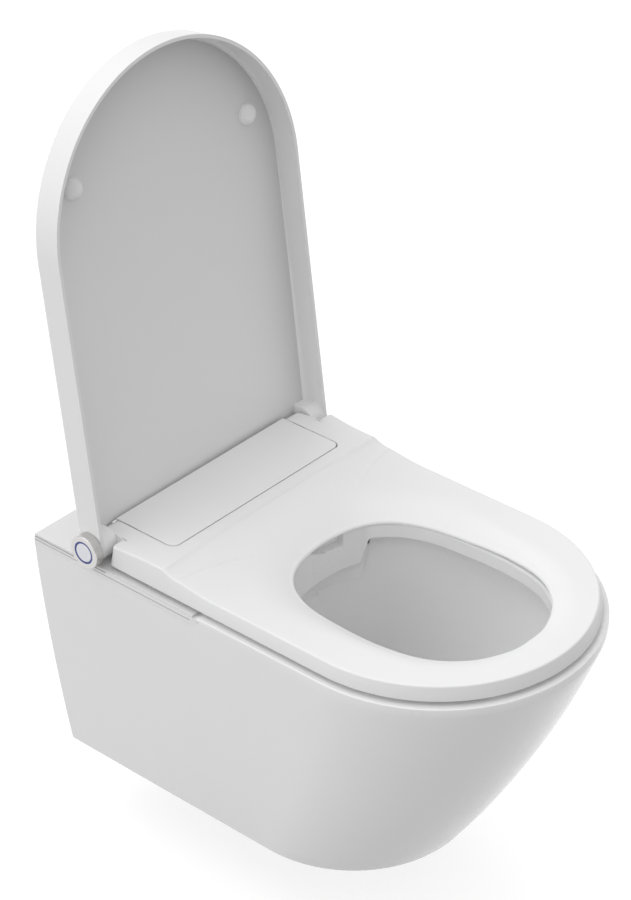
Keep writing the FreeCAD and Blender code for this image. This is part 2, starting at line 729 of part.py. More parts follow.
def make_hinge():
    """Two pins on one axis, the soft-close damper on the right and the knob's encoder on the left."""
    place = ("-hinge_reach", AXIS_LEVEL)
    right_pin = rod("pin_right", "pin_radius", "lid_half_width - lid_wall - knuckle_gap / 2 - pin_start",
                    ("pin_start", *place), "x")
    piece("hinge_pin_right", right_pin)
    left_end = "(lid_half_width + knob_gap / 4)"
    left_tube = rod("pin_left_tube", "pin_radius", f"{left_end} - pin_start", (f"-{left_end}", *place), "x")
    left_bore = rod("pin_left_bore", "pin_bore_radius", f"{left_end} - pin_start + 2 * overrun",
                    (f"-{left_end} - overrun", *place), "x")
    piece("hinge_pin_left", cut("pin_left", left_tube, left_bore))

    can_radius = "hinge_reach - housing_back - housing_wall - running_gap"
    damper_can = rod("damper_can", can_radius, "damper_length", ("pin_start - damper_length", *place), "x")
    damper_neck = rod("damper_neck", "pin_radius / 2", "damper_neck_length",
                      ("pin_start - damper_length - damper_neck_length", *place), "x")
    piece("soft_close_damper", join("damper", damper_can, damper_neck))

    encoder_can = rod("encoder_can", can_radius, "encoder_length", ("-pin_start", *place), "x")
    encoder_tail = box("encoder_tail", ("encoder_length / 2", "boss_radius", "boss_radius"),
                       ("encoder_length - pin_start", "-hinge_reach - boss_radius / 2",
                        f"{AXIS_LEVEL} - boss_radius / 2"))
    piece("knob_encoder", join("encoder", encoder_can, encoder_tail))


def hang_on_hinge(obj, angle):
    """Turn what was drawn about the hinge axis, and move it there."""
    obj.Placement = Placement(Vector(), Rotation(Vector(1, 0, 0), -QUARTER_TURN))
    bind(obj, "Placement.Rotation.Angle", angle)
    bind(obj, "Placement.Base.y", "-hinge_reach")
    bind(obj, "Placement.Base.z", AXIS_LEVEL)
    return obj


def sleeve_pair(name, inner, outer, start, length, place):
    """One bush on each side of the part."""
    bushes = []
    for side, begin in (("left", f"-({start} + {length})"), ("right", start)):
        blank = rod(f"{name}_blank_{side}", outer, length, (begin, *place), "x")
        bore = rod(f"{name}_bore_{side}", inner, f"{length} + 2 * overrun",
                   (f"{begin} - overrun", *place), "x")
        bushes.append(cut(f"{name}_{side}", blank, bore))
    return bushes


BUSH_RADIUS = "(pin_radius + running_gap + bush_wall)"


def make_lid():
    """A shallow cap about the hinge axis, with a hinge block in each of its two rear corners."""
    outer = d_block("lid_outer", "lid_half_width", "lid_start", "lid_length", "-lid_rise", "2 * lid_rise")
    crown = size("lid_rise")
    soft = rounded("lid_soft", outer, "lid_edge",
                   lambda edge: lies_at(edge, z=crown) and edge.BoundBox.YMin < -2 * crown)
    room = d_block("lid_room", "lid_half_width - lid_wall", "-overrun", "lid_length - lid_wall",
                   "-lid_rise - overrun", "2 * lid_rise - lid_panel + overrun")
    ceiling = size("lid_rise") - size("lid_panel")
    soft_room = rounded("lid_soft_room", room, "lid_inner_round",
                        lambda edge: lies_at(edge, z=ceiling) and edge.BoundBox.YMin < -2 * crown)
    shell = cut("lid_shell_cut", soft, soft_room)
    parts = [shell]
    for side, wall_start in (("left", "-lid_half_width"), ("right", "lid_half_width - lid_wall")):
        parts.append(rod(f"lid_ear_{side}", "lid_rise", "lid_wall", (wall_start, "0", "0"), "x"))
        parts.append(box(f"lid_ear_web_{side}", ("lid_wall", "2 * lid_start", "2 * lid_rise"),
                         (wall_start, "-2 * lid_start", "-lid_rise")))
    blank = join("lid_blank", *parts)
    knob_hole = rod("lid_knob_hole", "pin_radius + knob_gap / 2", "lid_wall + 2 * overrun",
                    ("-lid_half_width - overrun", "0", "0"), "x")
    piece("lid_shell", hang_on_hinge(cut("lid", blank, knob_hole), "-lid_open_angle"))

    blocks = []
    for side, start in (("left", "-(barrel_start + barrel_length)"), ("right", "barrel_start")):
        barrel = rod(f"lid_barrel_{side}", "barrel_radius", "barrel_length", (start, "0", "0"), "x")
        web = box(f"lid_barrel_web_{side}", ("barrel_length", "barrel_radius", "lid_rise"),
                  (start, "-barrel_radius", "0"))
        bore = rod(f"lid_bore_{side}", f"{BUSH_RADIUS} + running_gap", "barrel_length + 2 * overrun",
                   (f"{start} - overrun", "0", "0"), "x")
        blocks.append(cut(f"lid_block_{side}", join(f"lid_block_blank_{side}", barrel, web), blank, bore))
    piece("lid_hinge_blocks", hang_on_hinge(group("lid_block_pair", *blocks), "-lid_open_angle"))

    bushes = sleeve_pair("lid_bush", "pin_radius + running_gap", BUSH_RADIUS, "barrel_start", "barrel_length",
                         ("0", "0"))
    piece("lid_bushes", hang_on_hinge(group("lid_bush_pair", *bushes), "-lid_open_angle"))

    buffers = []
    for index, side in enumerate(("-", "")):
        stub = rod(f"lid_buffer_stub_{index}", "bumper_radius", "bumper_height",
                   (f"{side}bumper_offset", "-bumper_along", "lid_rise - lid_panel - bumper_height"), "z")
        low = size("lid_rise") - size("lid_panel") - size("bumper_height")
        buffers.append(rounded(f"lid_buffer_{index}", stub, "bumper_round", lambda edge: lies_at(edge, z=low)))
    piece("lid_buffers", hang_on_hinge(group("lid_buffer_pair", *buffers), "-lid_open_angle"))


def make_seat():
    """A ring with a raised rear deck, a hollow ramp between them, and two arms that carry the knuckles."""
    bottom = "(rim_height + seat_gap)"
    deck_height = "(unit_rise - seat_gap)"
    block = d_block("seat_block", "seat_half_width", "seat_back", "seat_front", bottom, deck_height)
    ring_top = "(rim_height + seat_ring_rise)"
    step = "(unit_rise - seat_ring_rise)"
    run = "(ramp_foot_reach - crease_reach)"
    ramp_radius = f"(({run}^2 + {step}^2) / (2 * {step}))"
    above_ring = box("seat_above_ring", ("2 * (seat_half_width + overrun)",
                                         "seat_front - ramp_foot_reach + overrun", f"{step} + overrun"),
                     ("-seat_half_width - overrun", "-seat_front - overrun", ring_top))
    ramp = rod("seat_ramp", ramp_radius, "2 * (seat_half_width + overrun)",
               ("-seat_half_width - overrun", "-ramp_foot_reach", f"{ring_top} + {ramp_radius}"), "x")
    opening_slab = box("seat_opening_slab", ("2 * opening_half_width",
                                             "opening_front - opening_back - 2 * opening_half_width",
                                             f"{deck_height} + 2 * overrun"),
                       ("-opening_half_width", "opening_half_width - opening_front", f"{bottom} - overrun"))
    opening_ends = [rod(f"seat_opening_{name}", "opening_half_width", f"{deck_height} + 2 * overrun",
                        ("0", place, f"{bottom} - overrun"), "z")
                    for name, place in (("front", "opening_half_width - opening_front"),
                                        ("back", "-opening_back - opening_half_width"))]
    unit_half = "(housing_half_width + seat_side_gap)"
    cutout_front = "(housing_front + seat_cutout_gap)"
    cutout = box("seat_cutout", (f"2 * {unit_half}", cutout_front, f"{deck_height} + 2 * overrun"),
                 (f"-{unit_half}", f"-{cutout_front}", f"{bottom} - overrun"))
    shaped = cut("seat_shaped", block, above_ring, ramp)
    half = size("seat_half_width")
    ring_level = size("rim_height") + size("seat_ring_rise")

    def is_outer_top(edge):
        low = edge.BoundBox.ZMin > ring_level - size("seat_gap")
        on_side = lies_at(edge, x=half) or lies_at(edge, x=-half)
        return low and (on_side or edge.Curve.TypeId == "Part::GeomCircle" and lies_at(edge, z=ring_level))

    soft = rounded("seat_soft", shaped, "seat_edge", is_outer_top)
    open_ring = cut("seat_open_ring", soft, join("seat_opening", opening_slab, *opening_ends))

    def is_inner_top(edge):
        limits = edge.BoundBox
        inside = limits.XLength < 2 * half - size("seat_edge") and limits.YMax < -size("ramp_foot_reach")
        return inside and lies_at(edge, z=ring_level) and abs(limits.Center.x) <= size("opening_half_width")

    dished = rounded("seat_dished", open_ring, "seat_inner_edge", is_inner_top)
    blank = cut("seat_blank", dished, cutout)
    arms = []
    for side, start in (("left", f"-({unit_half} + knuckle_length)"), ("right", unit_half)):
        arms.append(rod(f"seat_knuckle_{side}", "knuckle_radius", "knuckle_length",
                        (start, "-hinge_reach", AXIS_LEVEL), "x"))
        arms.append(box(f"seat_arm_{side}", ("knuckle_length", "seat_back - hinge_reach + overrun",
                                             "knuckle_radius + unit_rise - hinge_rise"),
                        (start, "-seat_back - overrun", f"{AXIS_LEVEL} - knuckle_radius")))
    bores = [rod(f"seat_bore_{side}", f"{BUSH_RADIUS} + running_gap", "knuckle_length + 2 * overrun",
                 (f"{start} - overrun", "-hinge_reach", AXIS_LEVEL), "x")
             for side, start in (("left", f"-({unit_half} + knuckle_length)"), ("right", unit_half))]
    piece("seat_ring", cut("seat", join("seat_armed", blank, *arms), *bores))

    bushes = sleeve_pair("seat_bush", "pin_radius + running_gap", BUSH_RADIUS, unit_half, "knuckle_length",
                         ("-hinge_reach", AXIS_LEVEL))
    piece("seat_bushes", group("seat_bush_pair", *bushes))

    pads = []
    for name, offset, reach in (("rear", "seat_pad_offset", "seat_pad_reach"),
                                ("front", "front_pad_offset", "front_pad_reach")):
        for index, side in enumerate(("-", "")):
            lengths = ("seat_pad_width", "seat_pad_length", "seat_gap - seat_pad_gap")
            if name == "front":
                lengths = ("seat_pad_length", "seat_pad_width", "seat_gap - seat_pad_gap")
            pads.append(box(f"seat_pad_{name}_{index}", lengths,
                            (f"{side}{offset} - ({lengths[0]}) / 2", f"-{reach} - ({lengths[1]}) / 2",
                             "rim_height + seat_pad_gap")))
    piece("seat_buffers", group("seat_pads", *pads))


def make_knob():
    """A turned knob on the hinge axis, with a light ring and a push cap let into its face."""
    place = ("-hinge_reach", AXIS_LEVEL)
    drum = rod("knob_drum", "knob_radius", "knob_length", ("-knob_face", *place), "x")
    face = -size("knob_face")
    soft = rounded("knob_soft", drum, "knob_edge", lambda edge: lies_at(edge, x=face))
    stem = rod("knob_stem", "stem_radius", "stem_length + overrun", ("-knob_back - overrun", *place), "x")
    ring_seat = rod("knob_ring_seat", "ring_radius", "ring_depth + overrun",
                    ("-knob_face - overrun", *place), "x")
    cap_room = "(cap_thickness + cap_travel + cap_spare)"
    cap_seat = rod("knob_cap_seat", "ring_radius - ring_width", f"{cap_room} + overrun",
                   ("-knob_face - overrun", *place), "x")
    hollow = cut("knob_hollow", soft, ring_seat, cap_seat)
    piece("knob_body", join("knob", hollow, stem))

    ring_blank = rod("knob_ring_blank", "ring_radius - running_gap", "ring_depth - running_gap",
                     ("-knob_face", *place), "x")
    ring_bore = rod("knob_ring_bore", "ring_radius - ring_width", "ring_depth + 2 * overrun",
                    ("-knob_face - overrun", *place), "x")
    piece("knob_light_ring", cut("knob_ring", ring_blank, ring_bore))

    cap = rod("knob_cap_blank", "ring_radius - ring_width - cap_gap", "cap_thickness",
              ("-knob_face", *place), "x")
    piece("knob_push_cap", rounded("knob_cap", cap, "cap_edge", lambda edge: lies_at(edge, x=face)))


def make_shroud():
    """The apron at the back of the bowl, with the window that the wand comes out of."""
    depth = "shroud_drop - cover_thickness"
    sheet_block = box("shroud_sheet", ("2 * shroud_half_width", "shroud_thickness", depth),
                      ("-shroud_half_width", "-shroud_front", "rim_height - shroud_drop"))
    low = size("rim_height") - size("shroud_drop")
    half = size("shroud_half_width")

    def is_low_corner(edge):
        on_side = lies_at(edge, x=half) or lies_at(edge, x=-half)
        return lies_at(edge, z=low) and on_side and edge.BoundBox.YLength > size("closeness")

    apron = rounded("shroud_apron", sheet_block, "shroud_corner", is_low_corner)
    window_block = box("shroud_window_block", ("2 * window_half_width", "shroud_thickness + 2 * overrun",
                                               "window_bottom_drop - window_top_drop"),
                       ("-window_half_width", "-shroud_front - overrun", "rim_height - window_bottom_drop"))
    wide = size("window_half_width")

    def is_window_corner(edge):
        on_side = lies_at(edge, x=wide) or lies_at(edge, x=-wide)
        return on_side and edge.BoundBox.YLength > size("closeness")

    window = rounded("shroud_window", window_block, "window_corner", is_window_corner)
    piece("nozzle_shroud", cut("shroud", apron, window))


def tilt_wand(obj):
    """Turn what was drawn along the wand's axis, and move it to the shroud's window."""
    obj.Placement = Placement(Vector(), Rotation(Vector(1, 0, 0), size("wand_tilt")))
    bind(obj, "Placement.Rotation.Angle", "wand_tilt")
    bind(obj, "Placement.Base.y", "-wand_reach")
    bind(obj, "Placement.Base.z", "rim_height - wand_drop")
    return obj


def pinion_outline(teeth, module, backlash):
    """Points of a spur gear with involute flanks, one tooth pointing up."""
    pitch_radius = module * teeth / 2
    base_radius = pitch_radius * math.cos(PRESSURE_ANGLE)
    flank_shares = (-1.0, -0.4, 0.0, 0.5, 0.95)

    def involute(angle):
        return math.tan(angle) - angle

    def half_angle(radius):
        pressure = math.acos(base_radius / max(radius, base_radius))
        at_pitch = math.pi / (2 * teeth) - backlash / (4 * pitch_radius)
        return at_pitch + involute(PRESSURE_ANGLE) - involute(pressure)

    points = []
    for tooth in range(teeth):
        middle = math.pi / 2 - 2 * math.pi * tooth / teeth
        flank = []
        for share in flank_shares:
            depth = share * DEDENDUM_SHARE if share < 0 else share
            radius = pitch_radius + depth * module
            flank.append((radius, half_angle(radius)))
        for radius, half in flank:
            points.append((radius * math.cos(middle + half), radius * math.sin(middle + half)))
        for radius, half in reversed(flank):
            points.append((radius * math.cos(middle - half), radius * math.sin(middle - half)))
    return points


def prism_across(points, half_width):
    """A prism between two planes of constant x, from points in y and z."""
    corners = [Vector(-half_width, y, z) for y, z in points]
    face = Part.Face(Part.makePolygon(corners + corners[:1]))
    return face.extrude(Vector(2 * half_width, 0, 0))


def make_wand():
    """Wand tube with its rack, nozzle tip, guide, drive pinion and motor."""
    tube = rod("wand_blank", "wand_radius", "wand_rear - tip_front - tip_length",
               ("0", "tip_front + tip_length", "0"), "y")
    bore = rod("wand_bore", "wand_bore_radius", "wand_rear", ("0", "tip_front + tip_length / 2", "0"), "y")
    module = size("tooth_size")
    pitch = math.pi * module
    pitch_level = -size("rack_pitch_depth")
    root_depth = DEDENDUM_SHARE * module
    root_level = pitch_level + root_depth
    half_root = pitch / 4 + root_depth * math.tan(PRESSURE_ANGLE) - size("tooth_backlash") / 4
    half_tip = pitch / 4 - module * math.tan(PRESSURE_ANGLE) - size("tooth_backlash") / 4
    start = size("pinion_along") + pitch / 2
    first = math.ceil((size("tip_front") + size("tip_length") + half_root - start) / pitch)
    last = math.floor((size("wand_rear") - half_root - start) / pitch)
    low_edge = [(size("tip_front") + size("tip_length"), root_level)]
    for index in range(first, last + 1):
        middle = start + index * pitch
        low_edge.append((middle - half_root, root_level))
        low_edge.append((middle - half_tip, pitch_level - module))
        low_edge.append((middle + half_tip, pitch_level - module))
        low_edge.append((middle + half_root, root_level))
    low_edge.append((size("wand_rear"), root_level))
    inside = -size("wand_bore_radius") - (size("wand_radius") - size("wand_bore_radius")) / 2
    outline = low_edge + [(size("wand_rear"), inside), (low_edge[0][0], inside)]
    rack = doc.addObject("Part::Feature", "wand_rack")
    rack.Shape = prism_across(outline, size("rack_half_width"))
    piece("spray_wand", tilt_wand(join("wand", cut("wand_tube", tube, bore), rack)))

    tip_blank = rod("tip_blank", "tip_radius", "tip_length", ("0", "tip_front", "0"), "y")
    tip_end = size("tip_front")
    tip_soft = rounded("tip_soft", tip_blank, "tip_round", lambda edge: lies_at(edge, y=tip_end))
    orifices = [rod(f"tip_orifice_{index}", "orifice_radius", "tip_radius",
                    ("0", f"tip_front + tip_round + orifice_pitch * ({index} + 1 / 2)", "tip_radius / 2"), "z")
                for index in range(ORIFICES)]
    piece("nozzle_tip", tilt_wand(cut("tip", tip_soft, *orifices)))

    block = box("guide_block", ("2 * guide_half_width", "guide_rear - guide_front", "2 * guide_half_height"),
                ("-guide_half_width", "guide_front", "-guide_half_height"))
    slideway = rod("guide_bore", "tip_radius + guide_gap", "guide_rear - guide_front + 2 * overrun",
                   ("0", "guide_front - overrun", "0"), "y")
    slot = box("guide_slot", ("2 * (rack_half_width + rack_gap)", "guide_rear - guide_front + 2 * overrun",
                              "guide_half_height + overrun"),
               ("-rack_half_width - rack_gap", "guide_front - overrun", "-guide_half_height - overrun"))
    tilted_block = tilt_wand(group("guide_core", block))
    saddle = box("guide_saddle", ("2 * saddle_half_width", "saddle_front - saddle_back", "saddle_thickness"),
                 ("-saddle_half_width", "-saddle_front", f"{PLATE_BOTTOM} - saddle_thickness"))
    pinion_depth = "(rack_pitch_depth + tooth_size * {} / 2 + mesh_gap)".format(PINION_TEETH)
    bracket = tilt_wand(group("guide_bracket_tilted", box(
        "guide_bracket", ("bracket_thickness", "2 * motor_radius", f"{pinion_depth} + motor_radius"),
        ("motor_start - bracket_thickness", "pinion_along - motor_radius",
         f"-{pinion_depth} - motor_radius"))))
    shaft_hole = rod("guide_shaft_hole", "shaft_radius + service_gap", "guide_half_width + bracket_thickness",
                     ("0", "pinion_along", f"-{pinion_depth}"), "x")
    clear_way = tilt_wand(join("guide_way", slideway, slot, shaft_hole))
    piece("wand_guide", cut("guide", join("guide_blank", tilted_block, saddle, bracket), clear_way))

    pinion_level = -(size("rack_pitch_depth") + module * PINION_TEETH / 2 + size("mesh_gap"))
    outline = [(y + size("pinion_along"), z + pinion_level)
               for y, z in pinion_outline(PINION_TEETH, module, size("tooth_backlash"))]
    wheel = doc.addObject("Part::Feature", "pinion_wheel")
    wheel.Shape = prism_across(outline, size("pinion_half_width"))
    shaft = rod("pinion_shaft", "shaft_radius", "pinion_half_width + motor_start + motor_length / 2",
                ("-pinion_half_width", "pinion_along", f"-{pinion_depth}"), "x")
    piece("drive_pinion", tilt_wand(join("pinion", wheel, shaft)))

    can = rod("motor_can", "motor_radius", "motor_length",
              ("motor_start", "pinion_along", f"-{pinion_depth}"), "x")
    motor_bore = rod("motor_bore", "shaft_radius + running_gap", "motor_length / 2 + overrun + service_gap",
                     ("motor_start - overrun", "pinion_along", f"-{pinion_depth}"), "x")
    piece("wand_motor", tilt_wand(cut("motor", can, motor_bore)))


def make_works():
    """What stands on the base plate inside the housing, and the two inlets under it."""
    heater_block = box("heater_block", ("heater_length", "heater_width", "heater_height"),
                       ("-heater_offset - heater_length", "-heater_reach - heater_width", PLATE_TOP))
    heater_soft = rounded("heater_soft", heater_block, "heater_corner",
                          lambda edge: edge.BoundBox.ZLength > size("heater_height") / 2)
    ports = [rod(f"heater_port_{index}", "port_radius", "port_length",
                 ("-heater_offset", f"-heater_reach - heater_width * {share}",
                  f"{PLATE_TOP} + heater_height / 2"), "x")
             for index, share in enumerate(("1 / 4", "3 / 4"))]
    piece("flow_heater", join("heater", heater_soft, *ports))

    pump_level = f"{PLATE_TOP} + pump_head_radius"
    barrel = rod("pump_barrel", "pump_radius", "pump_length", ("pump_offset", "-pump_reach", pump_level), "x")
    head = rod("pump_head", "pump_head_radius", "pump_head_length",
               ("pump_offset + pump_length", "-pump_reach", pump_level), "x")
    outlet = rod("pump_outlet", "port_radius", "port_length + pump_head_radius",
                 ("pump_offset + pump_length + pump_head_length / 2", "-pump_reach", pump_level), "y")
    piece("water_pump", join("pump", barrel, head, outlet))

    valve_block = box("valve_block", ("valve_length", "valve_width", "valve_height"),
                      ("valve_offset", "-valve_reach - valve_width", PLATE_TOP))
    coil = rod("valve_coil", "coil_radius", "coil_height",
               ("valve_offset + valve_length / 2", "-valve_reach - valve_width / 2",
                f"{PLATE_TOP} + valve_height"), "z")
    piece("inlet_valve", join("valve", valve_block, coil))

    board_bottom = "rim_height + board_rise"
    board = box("board_sheet", ("2 * board_half_width", "board_front - board_back", "board_thickness"),
                ("-board_half_width", "-board_front", board_bottom))
    parts = [board]
    post_rows = ("board_back + post_inset", "board_front - post_inset")
    for index, (side, reach) in enumerate((side, reach) for side in (-1, 1) for reach in post_rows):
        parts.append(rod(f"board_post_{index}", "post_radius", f"{board_bottom} - {PLATE_TOP}",
                         (f"{side} * (board_half_width - post_inset)", f"-({reach})", PLATE_TOP), "z"))
    for index, share in enumerate(("-3 / 4", "0", "1 / 2")):
        parts.append(box(f"board_chip_{index}", ("chip_length", "chip_width", "chip_height"),
                         (f"board_half_width * {share}", "-(board_back + board_front) / 2",
                          f"{board_bottom} + board_thickness")))
    piece("control_board", join("board", *parts))

    place = ("duct_offset", "-duct_reach")
    nipple_stub = rod("nipple_stub", "nipple_radius", "nipple_length",
                      (*place, f"{PLATE_BOTTOM} - nipple_length"), "z")
    flange = rod("nipple_flange_disc", "nipple_flange_radius", "nipple_flange",
                 (*place, f"{PLATE_BOTTOM} - nipple_flange"), "z")
    nipple_bore = rod("nipple_bore", "nipple_bore_radius", "nipple_length + 2 * overrun",
                      (*place, f"{PLATE_BOTTOM} - nipple_length - overrun"), "z")
    piece("water_inlet", cut("nipple", join("nipple_blank", nipple_stub, flange), nipple_bore))

    place = ("-duct_offset", "-duct_reach")
    gland_stub = rod("gland_stub", "gland_radius", "gland_length",
                     (*place, f"{PLATE_BOTTOM} - gland_length"), "z")
    gland_nut = rod("gland_nut", "nipple_flange_radius", "nipple_flange",
                    (*place, f"{PLATE_BOTTOM} - nipple_flange"), "z")
    gland_bore = rod("gland_bore", "gland_bore_radius", "gland_length + 2 * overrun",
                     (*place, f"{PLATE_BOTTOM} - gland_length - overrun"), "z")
    piece("power_gland", cut("gland", join("gland_blank", gland_stub, gland_nut), gland_bore))


def check_and_write():
    """Stop on any failed object or bad shape, then write every piece."""
    doc.recompute()
    for obj in doc.Objects:
        if "Invalid" in obj.State or "Error" in obj.State:
            raise RuntimeError(f"{obj.Name} failed: {obj.State}")
    for obj in PIECES:
        if obj.Shape.isNull() or not obj.Shape.isValid() or not obj.Shape.Solids:
            raise RuntimeError(f"{obj.Label} has no sound shape")
    os.makedirs("parts", exist_ok=True)
    for obj in PIECES:
        obj.Shape.exportStep(f"parts/{obj.Label}.step")
        limits = obj.Shape.BoundBox
        print(f"{obj.Label}: {len(obj.Shape.Solids)} solid(s), {obj.Shape.Volume / 1000:.2f} cm3, "
              f"x {limits.XMin:.1f} to {limits.XMax:.1f}, y {limits.YMin:.1f} to {limits.YMax:.1f}, "
              f"z {limits.ZMin:.1f} to {limits.ZMax:.1f}")


make_pan()
make_base()
make_housing()
make_hinge()
make_lid()
make_seat()
make_knob()
make_shroud()
make_wand()
make_works()
check_and_write()
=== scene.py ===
import json
import math
from functools import partial

import bmesh
import bpy
from bpy.props import FloatProperty, FloatVectorProperty, IntProperty, PointerProperty
from mathutils import Matrix, Vector
from mathutils.bvhtree import BVHTree
from mathutils.geometry import delaunay_2d_cdt


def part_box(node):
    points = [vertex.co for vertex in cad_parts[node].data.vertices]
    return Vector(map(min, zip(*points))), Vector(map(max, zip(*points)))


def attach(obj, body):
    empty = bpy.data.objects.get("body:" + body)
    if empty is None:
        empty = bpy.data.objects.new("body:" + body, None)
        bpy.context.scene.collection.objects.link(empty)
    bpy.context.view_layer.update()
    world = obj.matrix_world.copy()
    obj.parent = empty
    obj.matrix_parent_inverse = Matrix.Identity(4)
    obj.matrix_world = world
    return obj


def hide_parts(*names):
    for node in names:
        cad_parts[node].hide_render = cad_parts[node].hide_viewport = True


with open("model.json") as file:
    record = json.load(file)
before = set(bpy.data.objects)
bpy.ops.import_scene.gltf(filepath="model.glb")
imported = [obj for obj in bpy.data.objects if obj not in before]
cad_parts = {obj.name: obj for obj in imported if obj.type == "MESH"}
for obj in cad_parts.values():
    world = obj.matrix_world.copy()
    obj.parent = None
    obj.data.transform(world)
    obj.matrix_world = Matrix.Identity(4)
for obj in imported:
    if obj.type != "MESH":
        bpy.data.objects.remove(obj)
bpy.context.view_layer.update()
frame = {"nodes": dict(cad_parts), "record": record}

bl_info = {
    "name": "Bidet toilet dresser",
    "version": (1, 0, 0),
    "blender": (4, 5, 0),
    "location": "3D View > Sidebar > Bidet",
    "description": "Gives the packed bidet toilet its glaze, mouldings, knob, wash unit details and studio",
    "category": "Object",
}

RECORD = frame["record"]
SLOT_OF = {part["node"]: part["material_slot"] for part in RECORD["subparts"]}
BODY_OF = {node: body for body, nodes in RECORD["behaviour"]["bodies"].items() for node in nodes}
JOINTS = {joint["name"]: joint for joint in RECORD["behaviour"]["joints"]}
HINGE = Vector(JOINTS["lid_hinge"]["pos_m"])
SLIDE = Vector(JOINTS["wand_slide"]["axis"])
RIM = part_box("deck_cover")[1].z
UNIT_GAP = 0.0014
UNIT_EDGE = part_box("service_cover")[1].x + UNIT_GAP
UNIT_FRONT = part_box("service_cover")[0].y - UNIT_GAP
SWELL_START = 0.97
SWELL_POWER = 1.6
DISH_REACH = -0.30
NOISE_RANGE = (0.3, 0.7)
SUNK = 0.0001
SEAT_MARGIN = 0.0051
ARM_GAP = 0.0216
REAR_BAND = (-0.36, -0.34)
FLOOR_HALF = 30.0
CAMERA_PLACE = (-1.9965, -1.9734, 1.9021)
CAMERA_DIP = 0.563
CAMERA_TURN = 0.855
CAMERA_LENS = 117.25
CAMERA_SHIFT = (0.0087, -0.0122)


def length(label, text, default):
    return FloatProperty(name=label, description=text, default=default, unit="LENGTH", precision=4)


def share(label, text, default):
    return FloatProperty(name=label, description=text, default=default, min=0.0, max=1.0, subtype="FACTOR")


def level(label, text, default):
    return FloatProperty(name=label, description=text, default=default, min=0.0)


def tint(label, text, default):
    return FloatVectorProperty(name=label, description=text, default=default, size=3, min=0.0, max=1.0,
                               subtype="COLOR")


class BidetSeatSizes(bpy.types.PropertyGroup):
    """Sizes of the moulded seat."""

    edge_roll: length("Edge roll", "Radius of the seat's outer top edge", 0.0022)
    draft: length("Draft", "How far the seat's side leans in from foot to top", 0.0046)
    tight_roll: length("Tight roll", "Radius of the edges next to the wash unit", 0.0012)
    foot_roll: length("Foot roll", "Radius of the seat's lower outer edge", 0.0016)
    scoop: length("Scoop", "Distance of the arms' hollow ends from the hinge axis at the foot", 0.0206)
    scoop_lean: length("Scoop lean", "How much further from it they are at the top", 0.005)
    inner_roll: length("Inner roll", "Radius where the seat turns down into the opening", 0.0035)
    crease: length("Crease", "Distance of the deck's front crease from the wall", 0.1865)
    first_drop: length("First drop", "How far the short ramp falls from the deck", 0.0042)
    ring_drop: length("Ring drop", "How far the ring lies under the deck in all", 0.0098)
    ramp: length("Ramp", "Run of the short ramp at the seat's sides", 0.022)
    ramp_swell: length("Ramp swell", "What the ramp's run gains towards the middle", 0.075)
    sag: length("Sag", "How far the short ramp is hollowed between its two edges", 0.0019)
    ridge: length("Ridge", "Height of the fine line along the ramp's two edges", 0.0004)
    ridge_width: length("Ridge width", "Half the width of that line", 0.0011)
    glide: length("Glide", "Run of the long gentle slope to the ring", 0.07)
    dish: length("Dish", "Depth of the hollow at the rear of the opening", 0.0125)
    dish_width: length("Dish width", "Width of that hollow", 0.046)
    mesh_step: length("Mesh step", "Spacing of points on the seat", 0.0032)


class BidetRimSizes(bpy.types.PropertyGroup):
    """Sizes of the bowl's inner rim and its apron."""

    inset: length("Inset", "How far the rim stands back from the seat's opening", 0.0012)
    depth: length("Depth", "Depth of the rim's face under the pan's top", 0.015)
    apron_depth: length("Apron depth", "Depth of the apron at the rear", 0.047)
    apron_half: length("Apron half width", "Half the width of the apron", 0.0635)
    roll: length("Roll", "Radius of the rim's edges", 0.0028)
    wall: length("Wall", "Thickness of the rim's face", 0.009)
    crown: length("Crown", "How far the rim stands up inside the pan's top", 0.0043)
    shelf: length("Shelf", "How far the rim's top reaches back under the seat", 0.036)
    notch_right: length("Notch edge", "Right edge of the set-back beside the nozzle", 0.034)
    notch_depth: length("Notch depth", "Depth of that set-back", 0.008)
    door: length("Door", "Radius of the round door in front of the wand", 0.0131)
    round_solid: length("Solid's round", "Radius of the round on the pan's outer top edge", 0.0092)
    round_share: share("Round share", "Share of that round that is kept", 0.14)
    ledge_rise: length("Ledge rise", "How far the glazed ledge swells up over the base plate's edge", 0.0068)
    mesh_step: length("Mesh step", "Spacing of points along the rim", 0.0016)


class BidetLidSizes(bpy.types.PropertyGroup):
    """Sizes of what lines the lid."""

    lid_length: length("Length", "Length of the lid from the hinge axis", 0.5063)
    start: length("Start", "Distance of the lid's lower edge from the hinge axis", 0.0085)
    face: length("Face", "Depth of the lid's inner face behind the hinge axis", 0.013)
    wall: length("Wall", "Thickness of the lid's wall", 0.004)
    liner: length("Liner", "Thickness of the liner", 0.0012)
    liner_gap: length("Liner gap", "Distance of the liner's edge from the wall", 0.0018)
    tail: length("Tail", "How near the hinge axis the inner face is carried down", 0.0062)
    corner: length("Corner", "Radius of the solid's corner between inner face and wall", 0.008)
    tight: share("Tightness", "Share of that radius that is kept", 0.2)
    draw: length("Draw", "How far the lid's crest is drawn out", 0.005)
    knob_growth: level("Knob growth", "The knob's width as a share of the solid's", 1.08)
    buffer_radius: length("Buffer radius", "Radius of the lid's buffers", 0.0125)
    buffer_height: length("Buffer height", "Height of the lid's buffers", 0.0095)
    buffer_left: length("Left buffer", "Distance of the left buffer from the middle", 0.1265)
    buffer_left_up: length("Left buffer height", "Distance of the left buffer from the hinge axis", 0.394)
    buffer_right: length("Right buffer", "Distance of the right buffer from the middle", 0.1395)
    buffer_right_up: length("Right buffer height", "Distance of the right buffer from the hinge axis", 0.382)


